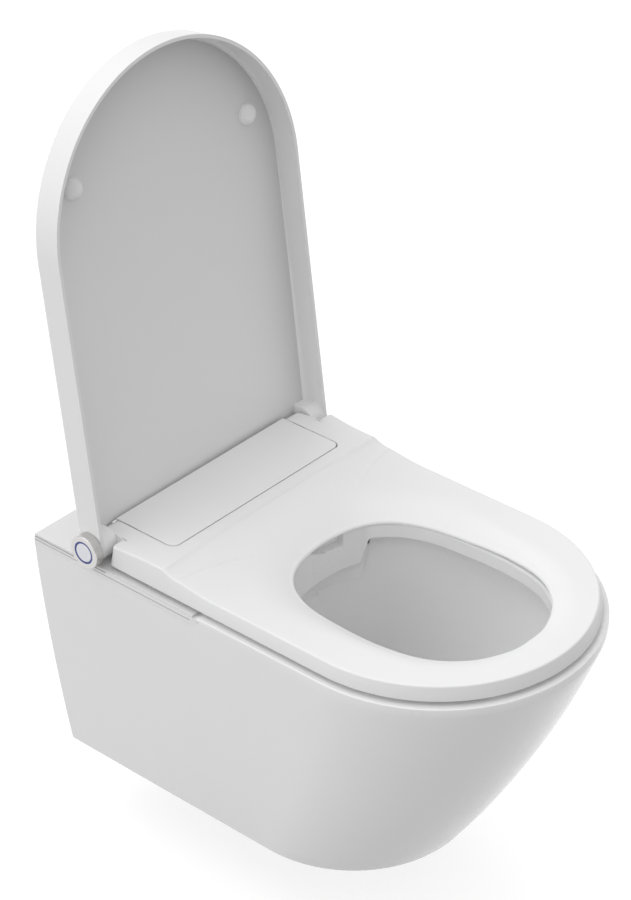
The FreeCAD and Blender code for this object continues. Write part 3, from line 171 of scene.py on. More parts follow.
class BidetTrimSizes(bpy.types.PropertyGroup):
    """Sizes of what repeats on the works inside the wash unit."""

    fin_pitch: length("Fin pitch", "Distance from one heater fin to the next", 0.0056)
    fin_run: length("Fin run", "Length of the heater that carries fins", 0.074)
    fin_height: length("Fin height", "How far the heater's fins stand up", 0.0018)
    board: length("Board", "Thickness of the board under its pins", 0.0016)
    pin_pitch: length("Pin pitch", "Distance from one pin to the next", 0.00254)
    pin_width: length("Pin width", "Width of a pin", 0.00064)
    pin_height: length("Pin height", "How far the board's pins stand up", 0.0019)
    wire: length("Wire", "Radius of the winding's wire", 0.0004)
    coil: length("Coil", "Length of the winding", 0.0096)
    thread_pitch: length("Thread pitch", "Distance from one thread of the inlet to the next", 0.0016)
    gland_ribs: IntProperty(name="Gland ribs", description="Number of ribs round the gland", default=18,
                            min=3, max=60)


class BidetFinish(bpy.types.PropertyGroup):
    """Colours of the finishes."""

    china: tint("China", "Colour of the glaze", (0.842, 0.842, 0.842))
    moulding: tint("Moulding", "Colour of the seat and the lid", (0.84, 0.84, 0.84))
    # The liner's grey is a moulding of its own, set below the seat's white partly as painted shade for the
    # inside of the open lid.
    liner: tint("Liner", "Colour of the lid's inner face", (0.79, 0.79, 0.79))
    unit: tint("Wash unit", "Colour of the wash unit's cover", (0.735, 0.735, 0.735))
    chassis: tint("Chassis", "Colour of the base plate and housing", (0.82, 0.82, 0.82))
    metal: tint("Metal", "Colour of the brushed knob", (0.62, 0.61, 0.6))
    glow: tint("Glow", "Colour of the knob's light ring", (0.03, 0.045, 0.19))
    copper: tint("Copper", "Colour of windings", (0.55, 0.24, 0.10))
    board: tint("Board", "Colour of the circuit board", (0.02, 0.16, 0.07))


class BidetStageSizes(bpy.types.PropertyGroup):
    """Sizes and levels of the studio."""

    floor_gap: length("Floor gap", "Height of the pan's foot above the floor", 0.09)
    ambient: level("Ambient", "Mean strength of the light from all round", 0.74)
    lean: level("Lean", "How much stronger it is behind and above", 0.16)
    key: level("Key", "Strength of the soft light from above", 0.75)
    fill: level("Fill", "Strength of the soft light from the left", 0.72)
    spread: level("Spread", "Width of both soft lights in degrees", 60.0)


# Finishes

MADE = {}


def feed(tree, socket, source):
    """Give a socket a value, or a link from another node's socket."""
    if isinstance(source, bpy.types.NodeSocket):
        tree.links.new(source, socket)
    else:
        socket.default_value = source


def put(tree, kind, sockets=None, **settings):
    """Add a node with its settings, and give some of its sockets a value or a link."""
    node = tree.nodes.new(kind)
    for key, setting in settings.items():
        setattr(node, key, setting)
    for key, source in (sockets or {}).items():
        feed(tree, node.inputs[key], source)
    return node


def speckle(tree, place, scale, detail=2.0, stretch=None):
    """Noise over the object, stretched where a grain runs one way."""
    if stretch:
        place = put(tree, "ShaderNodeMapping", {"Vector": place, "Scale": stretch}).outputs["Vector"]
    return put(tree, "ShaderNodeTexNoise", {"Vector": place, "Scale": scale, "Detail": detail}).outputs["Fac"]


def shades(tree, value, colour, spread):
    """A ramp of two close shades of a colour."""
    ramp = put(tree, "ShaderNodeValToRGB", {"Fac": value})
    for stop, sign, spot in zip(ramp.color_ramp.elements, (-1.0, 1.0), NOISE_RANGE):
        stop.color = [min(1.0, max(0.0, channel * (1.0 + sign * spread))) for channel in colour] + [1.0]
        stop.position = spot
    return ramp.outputs["Color"]


def between(tree, value, low, high):
    """Map noise to a narrow range, as a roughness needs."""
    start, end = NOISE_RANGE
    sockets = {"Value": value, "From Min": start, "From Max": end, "To Min": low, "To Max": high}
    return put(tree, "ShaderNodeMapRange", sockets).outputs["Result"]


def relief(tree, value, strength, depth):
    """A fine unevenness of the surface."""
    bump = put(tree, "ShaderNodeBump", {"Height": value, "Strength": strength, "Distance": depth})
    return bump.outputs["Normal"]


def moulded(tree, place, colour, rough, grain=60.0, depth=0.00003, gloss=0.5):
    """A plastic or rubber finish: slight shade, an uneven gloss and a fine grain."""
    return {"Base Color": shades(tree, speckle(tree, place, 9.0), colour, 0.006),
            "Roughness": between(tree, speckle(tree, place, 35.0), *rough),
            "Normal": relief(tree, speckle(tree, place, grain, 0.0), 0.3, depth),
            "Specular IOR Level": gloss}


def moulded_with_painted_shade(tree, place, colour, rough):
    """A moulded inner face with painted shade: it greys towards its edges by the walls, where little light
    comes.
    """
    sockets = moulded(tree, place, colour, rough)
    # Painted shade: each point's stored darkening, mixed in by multiplying the colour towards mid grey.
    depth = put(tree, "ShaderNodeAttribute", attribute_name="painted_shade").outputs["Fac"]
    tones = {"Factor": depth, "A": sockets["Base Color"], "B": (0.5, 0.5, 0.5, 1.0)}
    painted_shade_mix = put(tree, "ShaderNodeMix", tones, data_type="RGBA", blend_type="MULTIPLY")
    return {**sockets, "Base Color": painted_shade_mix.outputs["Result"]}


def glazed(tree, place, colour):
    """Vitreous china under a clear glaze, with the slow waviness that a glaze keeps."""
    return {"Base Color": shades(tree, speckle(tree, place, 6.0), colour, 0.008),
            "Roughness": between(tree, speckle(tree, place, 22.0), 0.16, 0.24),
            "Normal": relief(tree, speckle(tree, place, 14.0), 0.25, 0.0004),
            "Coat Weight": 0.35, "Coat Roughness": 0.06}


def metal(tree, lines, colour, rough, spread, depth):
    """Bare metal with fine lines."""
    return {"Base Color": shades(tree, lines, colour, spread), "Roughness": between(tree, lines, *rough),
            "Normal": relief(tree, lines, 0.2, depth), "Metallic": 1.0}


def turned_metal(tree, place, colour, rough):
    """Metal turned on a lathe: fine rings about the hinge axis."""
    centred = put(tree, "ShaderNodeMapping", {"Vector": place, "Location": (0.0, -HINGE.y, -HINGE.z)})
    split = put(tree, "ShaderNodeSeparateXYZ", {"Vector": centred.outputs["Vector"]}).outputs
    flat = put(tree, "ShaderNodeCombineXYZ", {"Y": split["Y"], "Z": split["Z"]}).outputs["Vector"]
    radius = put(tree, "ShaderNodeVectorMath", {0: flat}, operation="LENGTH").outputs["Value"]
    ring = put(tree, "ShaderNodeCombineXYZ", {"X": radius, "Y": split["X"]}).outputs["Vector"]
    return metal(tree, speckle(tree, ring, 2600.0, 3.0), colour, rough, 0.05, 0.00003)


def drawn_metal(tree, place, colour, rough):
    """Metal with fine lines along its length."""
    return metal(tree, speckle(tree, place, 160.0, 3.0, (1.0, 14.0, 14.0)), colour, rough, 0.06, 0.00004)


def light_guide(tree, place, colour):
    """A translucent ring with a painted glow, an emission of its own colour with no lamp behind it, a little
    brighter in patches.
    """
    lit = shades(tree, speckle(tree, place, 260.0), colour, 0.2)
    # Painted glow: the ring's colour is also given as a faint emission.
    return {"Base Color": lit, "Emission Color": lit, "Emission Strength": 0.3,
            "Roughness": between(tree, speckle(tree, place, 500.0), 0.25, 0.4)}


def circuit_board(tree, place, colour):
    """Green solder mask over copper tracks."""
    mask, shade, track = ((*[min(1.0, channel * part) for channel in colour], 1.0)
                          for part in (1.0, 0.85, 2.2))
    tracks = put(tree, "ShaderNodeTexBrick", {"Vector": place, "Scale": 60.0, "Mortar Size": 0.012,
                                              "Color1": mask, "Color2": shade, "Mortar": track}).outputs
    return {"Base Color": tracks["Color"], "Roughness": between(tree, speckle(tree, place, 300.0), 0.3, 0.45),
            "Normal": relief(tree, tracks["Fac"], 0.4, 0.00005)}


def slot_finish(slot):
    """The material of a slot, made once: its maker's sockets on a plain shader."""
    if slot in MADE:
        return MADE[slot]
    look = bpy.context.scene.bidet_finish
    maker, *given = {
        "glazed_china": (glazed, look.china),
        "white_moulding": (moulded, look.moulding, (0.3, 0.36), 60.0, 0.00003, 0.32),
        "lid_liner": (moulded_with_painted_shade, look.liner, (0.34, 0.4)),
        "unit_moulding": (moulded, look.unit, (0.32, 0.38)),
        "chassis_moulding": (moulded, look.chassis, (0.4, 0.48)),
        "soft_rubber": (moulded, (0.85, 0.85, 0.85), (0.3, 0.4), 420.0, 0.00005),
        "dark_rubber": (moulded, (0.03, 0.03, 0.032), (0.6, 0.75), 420.0, 0.00006),
        "satin_metal": (turned_metal, look.metal, (0.24, 0.36)),
        "steel": (drawn_metal, (0.62, 0.62, 0.63), (0.24, 0.36)),
        "bush_plastic": (moulded, (0.6, 0.6, 0.58), (0.42, 0.52)),
        "light_guide": (light_guide, look.glow),
        "push_face": (turned_metal, (0.62, 0.63, 0.66), (0.36, 0.46)),
        "wand_plastic": (moulded, (0.8, 0.8, 0.79), (0.2, 0.3)),
        "brass": (drawn_metal, (0.68, 0.5, 0.24), (0.22, 0.34)),
        "black_plastic": (moulded, (0.025, 0.025, 0.027), (0.38, 0.5), 480.0, 0.00005),
        "circuit_board": (circuit_board, look.board),
        "gear_plastic": (moulded, (0.68, 0.66, 0.58), (0.36, 0.46)),
        "copper_winding": (drawn_metal, look.copper, (0.28, 0.4)),
        # A mid grey for the gasket's and seal's edges, partly painted shade of the narrow seams.
        "gasket_and_seam_shade_grey": (moulded, (0.3, 0.3, 0.3), (0.5, 0.6)),
    }[slot]
    material = bpy.data.materials.new(f"{slot}_finish")
    material.use_nodes = True
    tree = material.node_tree
    shader = tree.nodes["Principled BSDF"]
    place = put(tree, "ShaderNodeTexCoord").outputs["Object"]
    for label, source in maker(tree, place, *given).items():
        feed(tree, shader.inputs[label], source)
    MADE[slot] = material
    return material


def coat(obj, slot):
    """Give an object the finish of a slot."""
    obj.data.materials.clear()
    obj.data.materials.append(slot_finish(slot))


# Mesh helpers

def add_piece(name, mesh, body, slot):
    """A finished piece at the origin that rides on a body."""
    piece = bpy.data.objects.new(name, mesh)
    bpy.context.scene.collection.objects.link(piece)
    coat(piece, slot)
    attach(piece, body)
    return piece


def soften(mesh, angle):
    """Smooth shading, with edges over an angle left sharp."""
    mesh.polygons.foreach_set("use_smooth", [True] * len(mesh.polygons))
    mesh.set_sharp_from_angle(angle=math.radians(angle))
    mesh.update()


def mesh_of(work, name):
    """The plain mesh of what was built."""
    mesh = bpy.data.meshes.new(name)
    work.to_mesh(mesh)
    work.free()
    return mesh


def add_shape(name, work, angle, body, slot):
    """A finished piece of what was built, with edges over an angle left sharp."""
    mesh = mesh_of(work, name)
    soften(mesh, angle)
    return add_piece(name, mesh, body, slot)


def strip(work, upper, lower):
    """Faces between two closed rings of points."""
    for index in range(len(upper)):
        work.faces.new((upper[index - 1], lower[index - 1], lower[index], upper[index]))


def quarter(pieces, first=0):
    """A quarter turn in steps: what each step's sine and cosine fall short of 1."""
    angles = [math.pi / 2 * part / pieces for part in range(first, pieces + 1)]
    return [(1 - math.sin(angle), 1 - math.cos(angle)) for angle in angles]


def smooth_copy(node, angle=28.0):
    """A merged, smoothly shaded copy of a CAD node, which it stands for."""
    mesh = frame["nodes"][node].data.copy()
    mesh.name = f"{node}_moulded"
    work = bmesh.new()
    work.from_mesh(mesh)
    bmesh.ops.remove_doubles(work, verts=work.verts, dist=0.00002)
    work.to_mesh(mesh)
    work.free()
    if mesh.has_custom_normals:
        mesh.attributes.remove(mesh.attributes["custom_normal"])
    soften(mesh, angle)
    piece = add_piece(f"{node}_moulded", mesh, BODY_OF[node], SLOT_OF[node])
    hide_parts(node)
    return piece


def round_corners(points, radii, step):
    """A closed outline with its corners rounded, as points about a step apart."""
    outline = []
    count = len(points)
    for index, (corner, radius) in enumerate(zip(points, radii)):
        corner = Vector(corner)
        back = (Vector(points[index - 1]) - corner).normalized()
        ahead = (Vector(points[(index + 1) % count]) - corner).normalized()
        half = math.acos(max(-1.0, min(1.0, back.dot(ahead)))) / 2.0
        if radius <= 0.0:
            outline.append(corner)
            continue
        reach = radius / math.tan(half)
        centre = corner + (back + ahead).normalized() * (radius / math.sin(half))
        first = corner + back * reach - centre
        sweep = first.angle_signed(corner + ahead * reach - centre)
        pieces = max(3, round(abs(sweep) * radius / step))
        outline += [centre + Matrix.Rotation(-sweep * part / pieces, 2) @ first for part in range(pieces + 1)]
    return outline


def even(outline, step):
    """The same closed outline with long runs divided."""
    result = []
    for index, point in enumerate(outline):
        ahead = outline[(index + 1) % len(outline)]
        pieces = max(1, round((ahead - point).length / step))
        result += [point.lerp(ahead, part / pieces) for part in range(pieces)]
    return result


def inward(outline):
    """Unit vectors to the left of a closed outline, which is inwards if it runs anticlockwise."""
    normals = []
    count = len(outline)
    for index in range(count):
        run = (outline[(index + 1) % count] - outline[index - 1]).normalized()
        normals.append(Vector((-run.y, run.x)))
    return normals


def inside(point, outline):
    """Whether a point lies within a closed outline."""
    within = False
    last = outline[-1]
    for here in outline:
        if (here.y > point.y) != (last.y > point.y):
            if point.x < (last.x - here.x) * (point.y - here.y) / (last.y - here.y) + here.x:
                within = not within
        last = here
    return within


def fill(outer, holes, step, lines=()):
    """Triangles within an outline and outside its holes, with points spread between and on some lines."""
    def within(spot):
        return inside(spot, outer) and not any(inside(spot, hole) for hole in holes)

    def cell_of(spot):
        return int(spot.x // step), int(spot.y // step)

    def free(spot, gap):
        """Whether a spot lies in the area, and no nearer than a gap to the points in the cells."""
        column, row = cell_of(spot)
        near = [other for across in (-1, 0, 1) for up in (-1, 0, 1)
                for other in cells.get((column + across, row + up), ())]
        return all((spot - other).length >= gap for other in near) and within(spot)

    loops = [outer, *holes]
    points = [point for loop in loops for point in loop]
    edges = []
    start = 0
    for loop in loops:
        edges += [(start + index, start + (index + 1) % len(loop)) for index in range(len(loop))]
        start += len(loop)
    border = len(points)
    if step:
        low = Vector((min(point.x for point in outer), min(point.y for point in outer)))
        high = Vector((max(point.x for point in outer), max(point.y for point in outer)))
        rows = int((high.y - low.y) / step)
        columns = int((high.x - low.x) / step)
        cells = {}
        for point in points:
            cells.setdefault(cell_of(point), []).append(point)
        for spot in lines:
            if free(spot, 0.0006):
                points.append(spot)
                cells.setdefault(cell_of(spot), []).append(spot)
        for row in range(1, rows + 1):
            for column in range(columns + 1):
                spot = low + Vector(((column + 0.5 * (row % 2)) * step, row * step))
                if free(spot, 0.55 * step):
                    points.append(spot)
    spots, _, faces, _, _, _ = delaunay_2d_cdt(points, edges, [], 0, 1e-7)
    kept = []
    for face in faces:
        middle = sum((spots[index] for index in face), Vector((0.0, 0.0))) / len(face)
        if within(middle):
            kept.append(list(face))
    if len(spots) != len(points):
        raise RuntimeError("the outline's points fell together")
    return spots, kept, border


# Seat

ARM_ROUND = 0.006
ARM_INNER_ROUND = 0.002
NOTCH_ROUND = 0.0104
BOW_PIECES = 120
CURVE_PIECES = 12
EDGE_START = 0.008
EDGE_RUN = 0.03
TONGUE_WIDTH = 0.0212
TONGUE_TOP = 0.002
TONGUE_FOOT = 0.0156
SCOOP_RUN = 0.012
SCOOP_WIDTH = 0.05
SCOOP_CURVE = 1.4
KNUCKLE_WIDTH = 0.021
KNUCKLE_BORE = 0.0091
KNUCKLE_EDGE = 0.0008
KNUCKLE_LAP = 0.004


def seat_outline(step):
    """The seat's outer edge, anticlockwise from the right arm, with the notch for the wash unit."""
    unit, notch = UNIT_EDGE, UNIT_FRONT
    half, back = seat_half(), seat_back()
    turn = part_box("seat_ring")[0].y + half
    corners = [(half, turn), (half, back), (unit, back), (unit, notch),
               (-unit, notch), (-unit, back), (-half, back), (-half, turn)]
    radii = [0.0, ARM_ROUND, ARM_INNER_ROUND, NOTCH_ROUND]
    outline = round_corners(corners, radii + radii[::-1], step)
    bow = [Vector((half * math.cos(angle), turn + half * math.sin(angle)))
           for angle in (math.pi + math.pi * part / BOW_PIECES for part in range(1, BOW_PIECES))]
    return even(outline + bow, step)


def seat_half():
    """Half the seat's width, a little less than the pan's."""
    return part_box("ceramic_pan")[1].x - SEAT_MARGIN


def seat_back():
    """Where the seat's arms end behind, in front of the hinge."""
    return HINGE.y - ARM_GAP


OPENING = [(0.0, -0.259), (0.047, -0.2655), (0.080, -0.288), (0.0985, -0.325), (0.1055, -0.375),
           (0.1065, -0.430), (0.0965, -0.480), (0.070, -0.5165), (0.032, -0.5375), (0.0, -0.5415)]


def opening_outline(step):
    """The egg-shaped opening, anticlockwise, as a smooth curve through its points."""
    right = [Vector(point) for point in OPENING]
    knots = right + [Vector((-point.x, point.y)) for point in reversed(right[1:-1])]
    knots.reverse()
    count = len(knots)
    curve = []
    for index in range(count):
        before, here, there, after = (knots[(index + shift) % count] for shift in (-1, 0, 1, 2))
        for part in range(CURVE_PIECES):
            t = part / CURVE_PIECES
            bend = 2 * before - 5 * here + 4 * there - after
            twist = 3 * here - before - 3 * there + after
            curve.append(0.5 * (2 * here + (there - before) * t + bend * t * t + twist * t ** 3))
    return even(curve, step)


class RuleTree:
    """Builds a Geometry Nodes tree from short calls. The values of its named inputs tell their kinds."""

    KINDS = {int: "NodeSocketInt", float: "NodeSocketFloat", tuple: "NodeSocketVector"}

    def __init__(self, name, values):
        self.tree = bpy.data.node_groups.new(name, "GeometryNodeTree")
        ends = self.tree.interface
        ends.new_socket("Geometry", in_out="INPUT", socket_type="NodeSocketGeometry")
        self.values = {}
        for label, value in values.items():
            socket = ends.new_socket(label, in_out="INPUT", socket_type=self.KINDS[type(value)])
            self.values[socket.identifier] = value
        ends.new_socket("Geometry", in_out="OUTPUT", socket_type="NodeSocketGeometry")
        self.given = self.node("NodeGroupInput").outputs

    def node(self, kind, sockets=None, **settings):
        return put(self.tree, kind, sockets, **settings)

    def sum(self, operation, *sources):
        return self.node("ShaderNodeMath", dict(enumerate(sources)), operation=operation).outputs[0]

    def place(self):
        """The three coordinates of each point."""
        position = self.node("GeometryNodeInputPosition").outputs[0]
        return self.node("ShaderNodeSeparateXYZ", {0: position}).outputs

    def eased(self, value, start, end, low, high):
        sockets = {"Value": value, "From Min": start, "From Max": end, "To Min": low, "To Max": high}
        return self.node("ShaderNodeMapRange", sockets, interpolation_type="SMOOTHSTEP").outputs["Result"]

    def piece(self, name, geometry, start, angle, body, slot):
        """End in Realize Instances and Set Material, and make a plain piece of the tree's result."""
        real = self.node("GeometryNodeRealizeInstances", {"Geometry": geometry}).outputs["Geometry"]
        paint = self.node("GeometryNodeSetMaterial", {"Geometry": real, "Material": slot_finish(slot)})
        self.node("NodeGroupOutput", {"Geometry": paint.outputs["Geometry"]})
        carrier = bpy.data.objects.new(f"{name} carrier", start)
        bpy.context.scene.collection.objects.link(carrier)
        modifier = carrier.modifiers.new("Rule", "NODES")
        modifier.node_group = self.tree
        for key, value in self.values.items():
            modifier[key] = value
        depsgraph = bpy.context.evaluated_depsgraph_get()
        mesh = bpy.data.meshes.new_from_object(carrier.evaluated_get(depsgraph), depsgraph=depsgraph)
        bpy.data.objects.remove(carrier)
        if not mesh.polygons:
            raise RuntimeError(f"{self.tree.name} made nothing")
        mesh.name = name
        soften(mesh, angle)
        return add_piece(name, mesh, body, slot)


def seat_contour(sizes, blank):
    """Shape the seat's top: level deck, short ramp, long glide and a dish at the opening's rear."""
    rule = RuleTree("Seat contour", {
        "Crease": sizes.crease, "First drop": sizes.first_drop, "Ring drop": sizes.ring_drop,
        "Ramp": sizes.ramp, "Ramp swell": sizes.ramp_swell, "Sag": sizes.sag, "Ridge": sizes.ridge,
        "Ridge width": sizes.ridge_width, "Glide": sizes.glide, "Half width": seat_half(),
        "Dish": sizes.dish, "Dish width": sizes.dish_width, "Dish reach": DISH_REACH})
    given = rule.given
    add, sub, mul, div, most, least, size = (partial(rule.sum, operation) for operation in (
        "ADD", "SUBTRACT", "MULTIPLY", "DIVIDE", "MAXIMUM", "MINIMUM", "ABSOLUTE"))
    across, along, _ = rule.place()
    ahead = sub(mul(along, -1.0), given["Crease"])
    side = div(size(across), given["Half width"])
    swell = rule.sum("POWER", most(sub(SWELL_START, side), 0.0), SWELL_POWER)
    run = add(given["Ramp"], mul(swell, given["Ramp swell"]))
    portion = div(ahead, run)
    steep = rule.sum("SMOOTH_MIN", rule.sum("SMOOTH_MAX", portion, 0.0, 0.012), 1.0, 0.04)
    within = least(most(portion, 0.0), 1.0)
    hollow = mul(within, sub(4.0, mul(within, 4.0)))
    sag = mul(hollow, mul(given["Sag"], rule.eased(side, 0.25, 0.9, 0.15, 1.0)))

    def ridge(distance, height):
        """A fine raised line where a distance is nought."""
        return mul(most(sub(1.0, div(size(distance), given["Ridge width"])), 0.0), height)

    foot_height = mul(given["Ridge"], rule.eased(side, 0.3, 0.6, 0.0, 1.0))
    lines = add(ridge(ahead, given["Ridge"]), ridge(sub(ahead, run), foot_height))
    first = add(mul(steep, given["First drop"]), sub(sag, lines))
    second = rule.eased(ahead, 0.0, given["Glide"], 0.0, sub(given["Ring drop"], given["First drop"]))
    reach = given["Dish reach"]
    rearness = rule.eased(along, sub(reach, 0.24), reach, 0.45, 1.0)
    width = mul(given["Dish width"], rule.eased(along, sub(reach, 0.13), reach, 0.55, 1.0))
    gap, lift = (rule.node("GeometryNodeInputNamedAttribute", {"Name": name}, data_type="FLOAT").outputs[0]
                 for name in ("opening_distance", "lift"))
    near = most(sub(1.0, div(gap, width)), 0.0)
    dish = mul(mul(rule.sum("POWER", near, 2.0), rearness), given["Dish"])
    drop = mul(add(add(first, second), dish), lift)
    offset = rule.node("ShaderNodeCombineXYZ", {"Z": mul(drop, -1.0)}).outputs[0]
    moved = rule.node("GeometryNodeSetPosition", {"Geometry": given["Geometry"], "Offset": offset})
    return rule.piece("seat_moulding", moved.outputs["Geometry"], blank, 50.0, "seat", "white_moulding")


def seat_blank(sizes):
    """The seat before its top is shaped: a level slab with rolled edges, an opening and arms."""
    step = sizes.mesh_step
    outer = seat_outline(step)
    hole = opening_outline(step)
    hole.reverse()
    low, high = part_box("seat_ring")
    top, bottom = high.z, low.z
    outer_in = inward(outer)
    hole_out = inward(hole)
    half, back = seat_half(), seat_back()
    tongue = UNIT_EDGE + TONGUE_WIDTH

    def openness(point):
        """1 along the sides and the front, where the edge leans in, and 0 beside the wash unit."""
        if point.y < UNIT_FRONT - 0.02 or abs(point.x) > half - 0.0005:
            return max(0.0, min(1.0, (back - EDGE_START - point.y) / EDGE_RUN))
        return 0.0

    open_edge = [openness(point) for point in outer]
    shifts = range(-6, 7)
    open_edge = [sum(open_edge[(index + shift) % len(outer)] for shift in shifts) / len(shifts)
                 for index in range(len(outer))]
    rolls = [sizes.tight_roll + (sizes.edge_roll - sizes.tight_roll) * part for part in open_edge]
    drafts = [sizes.draft * part for part in open_edge]
    shoulder = [point + normal * (radius + draft)
                for point, normal, radius, draft in zip(outer, outer_in, rolls, drafts)]
    lip = [point + normal * sizes.inner_roll for point, normal in zip(hole, hole_out)]
    lines = []
    count = int(2 * half / (0.7 * step))
    for index in range(1, count):
        across = -half + 2 * half * index / count
        swell = max(0.0, SWELL_START - abs(across) / half) ** SWELL_POWER
        run = sizes.ramp + swell * sizes.ramp_swell
        for along in (-sizes.ridge_width, 0.0, sizes.ridge_width):
            lines.append(Vector((across, -sizes.crease - along)))
            lines.append(Vector((across, -sizes.crease - run - along)))
    spots, faces, border = fill(shoulder, [lip[::-1]], step, lines)
    work = bmesh.new()
    lift_key = work.verts.layers.float.new("lift")
    gap_key = work.verts.layers.float.new("opening_distance")

    def vert(spot, height, lift):
        made = work.verts.new((spot.x, spot.y, height))
        made[lift_key] = lift
        return made

    crown = [vert(spot, top, 1.0) for spot in spots]
    for face in faces:
        work.faces.new([crown[index] for index in face])

    foot = sizes.foot_roll

    def edge(ring, path, normals, rolls, drafts, tuck):
        """Carry a ring of points over a rolled edge, down the side and round the foot."""
        rows = []
        for out, fall in quarter(7, 1):
            rows.append([vert(point + normal * (draft + radius * out), top - radius * fall, 1.0)
                         for point, normal, radius, draft in zip(path, normals, rolls, drafts)])
        for out, fall in quarter(3):
            rows.append([vert(point + normal * foot * (tuck + fall), bottom + foot * out, 0.0)
                         for point, normal in zip(path, normals)])
        for upper, lower in zip([ring, *rows], rows):
            strip(work, upper, lower)
        return rows[-1]

    outer_foot = edge(crown[:len(shoulder)], outer, outer_in, rolls, drafts, 0.0)
    hole_foot = edge(crown[len(shoulder):border][::-1], hole, hole_out, [sizes.inner_roll] * len(hole),
                     [0.0] * len(hole), 2.0)[::-1]
    faces = fill([vert.co.to_2d() for vert in outer_foot], [[vert.co.to_2d() for vert in hole_foot]], 0)[1]
    base = outer_foot + hole_foot
    for face in faces:
        work.faces.new([base[index] for index in reversed(face)])
    for made in work.verts:
        spot = made.co.to_2d()
        distance = min((spot - point).length_squared for point in hole) ** 0.5
        made[gap_key] = 0.0 if inside(spot, hole) else max(0.0, distance - sizes.inner_roll)
        if spot.y > back - SCOOP_RUN and abs(spot.x) > half - SCOOP_WIDTH:
            near = max(0.0, min(1.0, (spot.y - back + SCOOP_RUN) / SCOOP_RUN))
            rise = made.co.z - HINGE.z
            height = max(0.0, min(1.0, (made.co.z - bottom) / (top - bottom)))
            scoop = HINGE.y - sizes.scoop - sizes.scoop_lean * height ** SCOOP_CURVE
            if abs(spot.x) < tongue:
                scoop = HINGE.y + TONGUE_TOP if rise > 0.0 else HINGE.y - TONGUE_FOOT
            made.co.y += (scoop - back) * near
    bmesh.ops.recalc_face_normals(work, faces=work.faces)
    return mesh_of(work, "seat_blank")


class BIDET_OT_seat(bpy.types.Operator):
    """Mould the seat: rolled edges, ramp from the deck to the ring, and a dish at the opening's rear"""

    bl_idname = "bidet.seat"
    bl_label = "Seat"

    def execute(self, context):
        sizes = context.scene.bidet_seat
        seat = seat_contour(sizes, seat_blank(sizes))
        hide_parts("seat_ring")
        seat_knuckles()
        return {"FINISHED"}


def seat_knuckles():
    """The arms' ends, which carry the seat's bushes: round behind the hinge axis, level in front of it."""
    work = bmesh.new()
    start, end = UNIT_EDGE, UNIT_EDGE + KNUCKLE_WIDTH
    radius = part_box("seat_ring")[1].z - HINGE.z - 0.0003
    bore, soft = KNUCKLE_BORE, KNUCKLE_EDGE
    front = HINGE.y - seat_back() + KNUCKLE_LAP
    turns = [2 * math.pi * part / 72 for part in range(72)]

    def outer(angle):
        """How far the arm's end reaches from the hinge axis in one direction."""
        across, up = math.cos(angle), abs(math.sin(angle))
        if across >= 0.0:
            return radius
        return min(front / -across, radius / up if up > 0.01 else front)

    for side in (-1, 1):
        stations = [(start, bore, None), (start, None, soft), (start + soft, None, 0.0),
                    (end - soft, None, 0.0), (end, None, soft), (end, bore, None)]
        rows = []
        for along, fixed, inset in stations:
            row = []
            for angle in turns:
                distance = fixed if inset is None else outer(angle) - inset
                row.append(work.verts.new((side * along, HINGE.y + distance * math.cos(angle),
                                           HINGE.z + distance * math.sin(angle))))
            rows.append(row)
        for upper, lower in zip(rows, rows[1:] + rows[:1]):
            strip(work, upper, lower)
    bmesh.ops.recalc_face_normals(work, faces=work.faces)
    add_shape("seat_knuckles", work, 30.0, "seat", "white_moulding")


# China pan

RIM_ROWS = 30
CROWN_WIDTH = 0.014
APRON_RAMP = 0.010
APRON_INSET = 0.0025
SHELF_LEVELS = (0.001, 0.008, 0.0095)
NOTCH_FALL = 0.014
NOTCH_RISE = 0.0185
NOTCH_RUN = 0.075
NOTCH_WAVE = 0.0012
NOTCH_WAVES = 150.0
DOOR_SNAP = 0.0011
DOOR_THICKNESS = 0.002
DOOR_SHRINK = 0.015
DOOR_ROOM = 0.001
LEDGE_SIDE = 0.16
LINING_HEART = -0.388
LINING_WIDTH = 0.123
LINING_DEPTH = 0.149
LINING_TOP = 0.030
LINING_FALL = 0.066
LINING_FAN = 44.0
LINING_MATCH = 0.0024
LINING_SUNK = 0.0004
LIP_WIDTH = 0.0006
LIP_STANDS_OUT = 0.00008
WELL_RISE = 0.0038
WELL_BEHIND = 0.0117
WELL_LENGTH = 0.3184
WELL_THICKNESS = 0.001


class BIDET_OT_china(bpy.types.Operator):
    """Glaze the ceramic pan, and give its bowl the inner rim and the apron that hides the wash unit's bay"""

    bl_idname = "bidet.china"
    bl_label = "China pan"

    def execute(self, context):
        sizes = context.scene.bidet_rim
        pan = smooth_copy("ceramic_pan", 24.0)
        tighten_rim(pan, sizes)
        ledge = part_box("base_gasket")[0].z
        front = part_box("base_plate")[0].y - 0.0009
        top = ledge + sizes.ledge_rise
        for vert in pan.data.vertices:
            if ledge - 0.0002 < vert.co.z < top and abs(vert.co.x) > LEDGE_SIDE and vert.co.y > front:
                vert.co.z = top
        gasket_and_seam_shade_lips(top)
        inner_rim(sizes)
        bay_lining(pan, sizes.door + DOOR_ROOM)
        hinge_well()
        return {"FINISHED"}


def tighten_rim(pan, sizes):
    """Draw the round of the pan's outer top edge out towards its corner, as the glazed edge is tighter."""
    low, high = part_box("ceramic_pan")
    turn = low.y + high.x
    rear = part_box("base_plate")[0].y - 0.00015
    for vert in pan.data.vertices:
        fall = RIM - vert.co.z
        if not 0.0 <= fall < sizes.round_solid or vert.co.y > rear:
            continue
        off = Vector((vert.co.x, min(0.0, vert.co.y - turn)))
        gap = high.x - off.length
        if -0.001 < gap < sizes.round_solid:
            move = off.normalized() * gap * (1.0 - sizes.round_share)
            vert.co += Vector((move.x, move.y, fall * (1.0 - sizes.round_share)))
    soften(pan.data, 24.0)


def step_between(value, low, high):
    """A smooth step from 0 to 1."""
    t = max(0.0, min(1.0, (value - low) / (high - low)))
    return t * t * (3.0 - 2.0 * t)


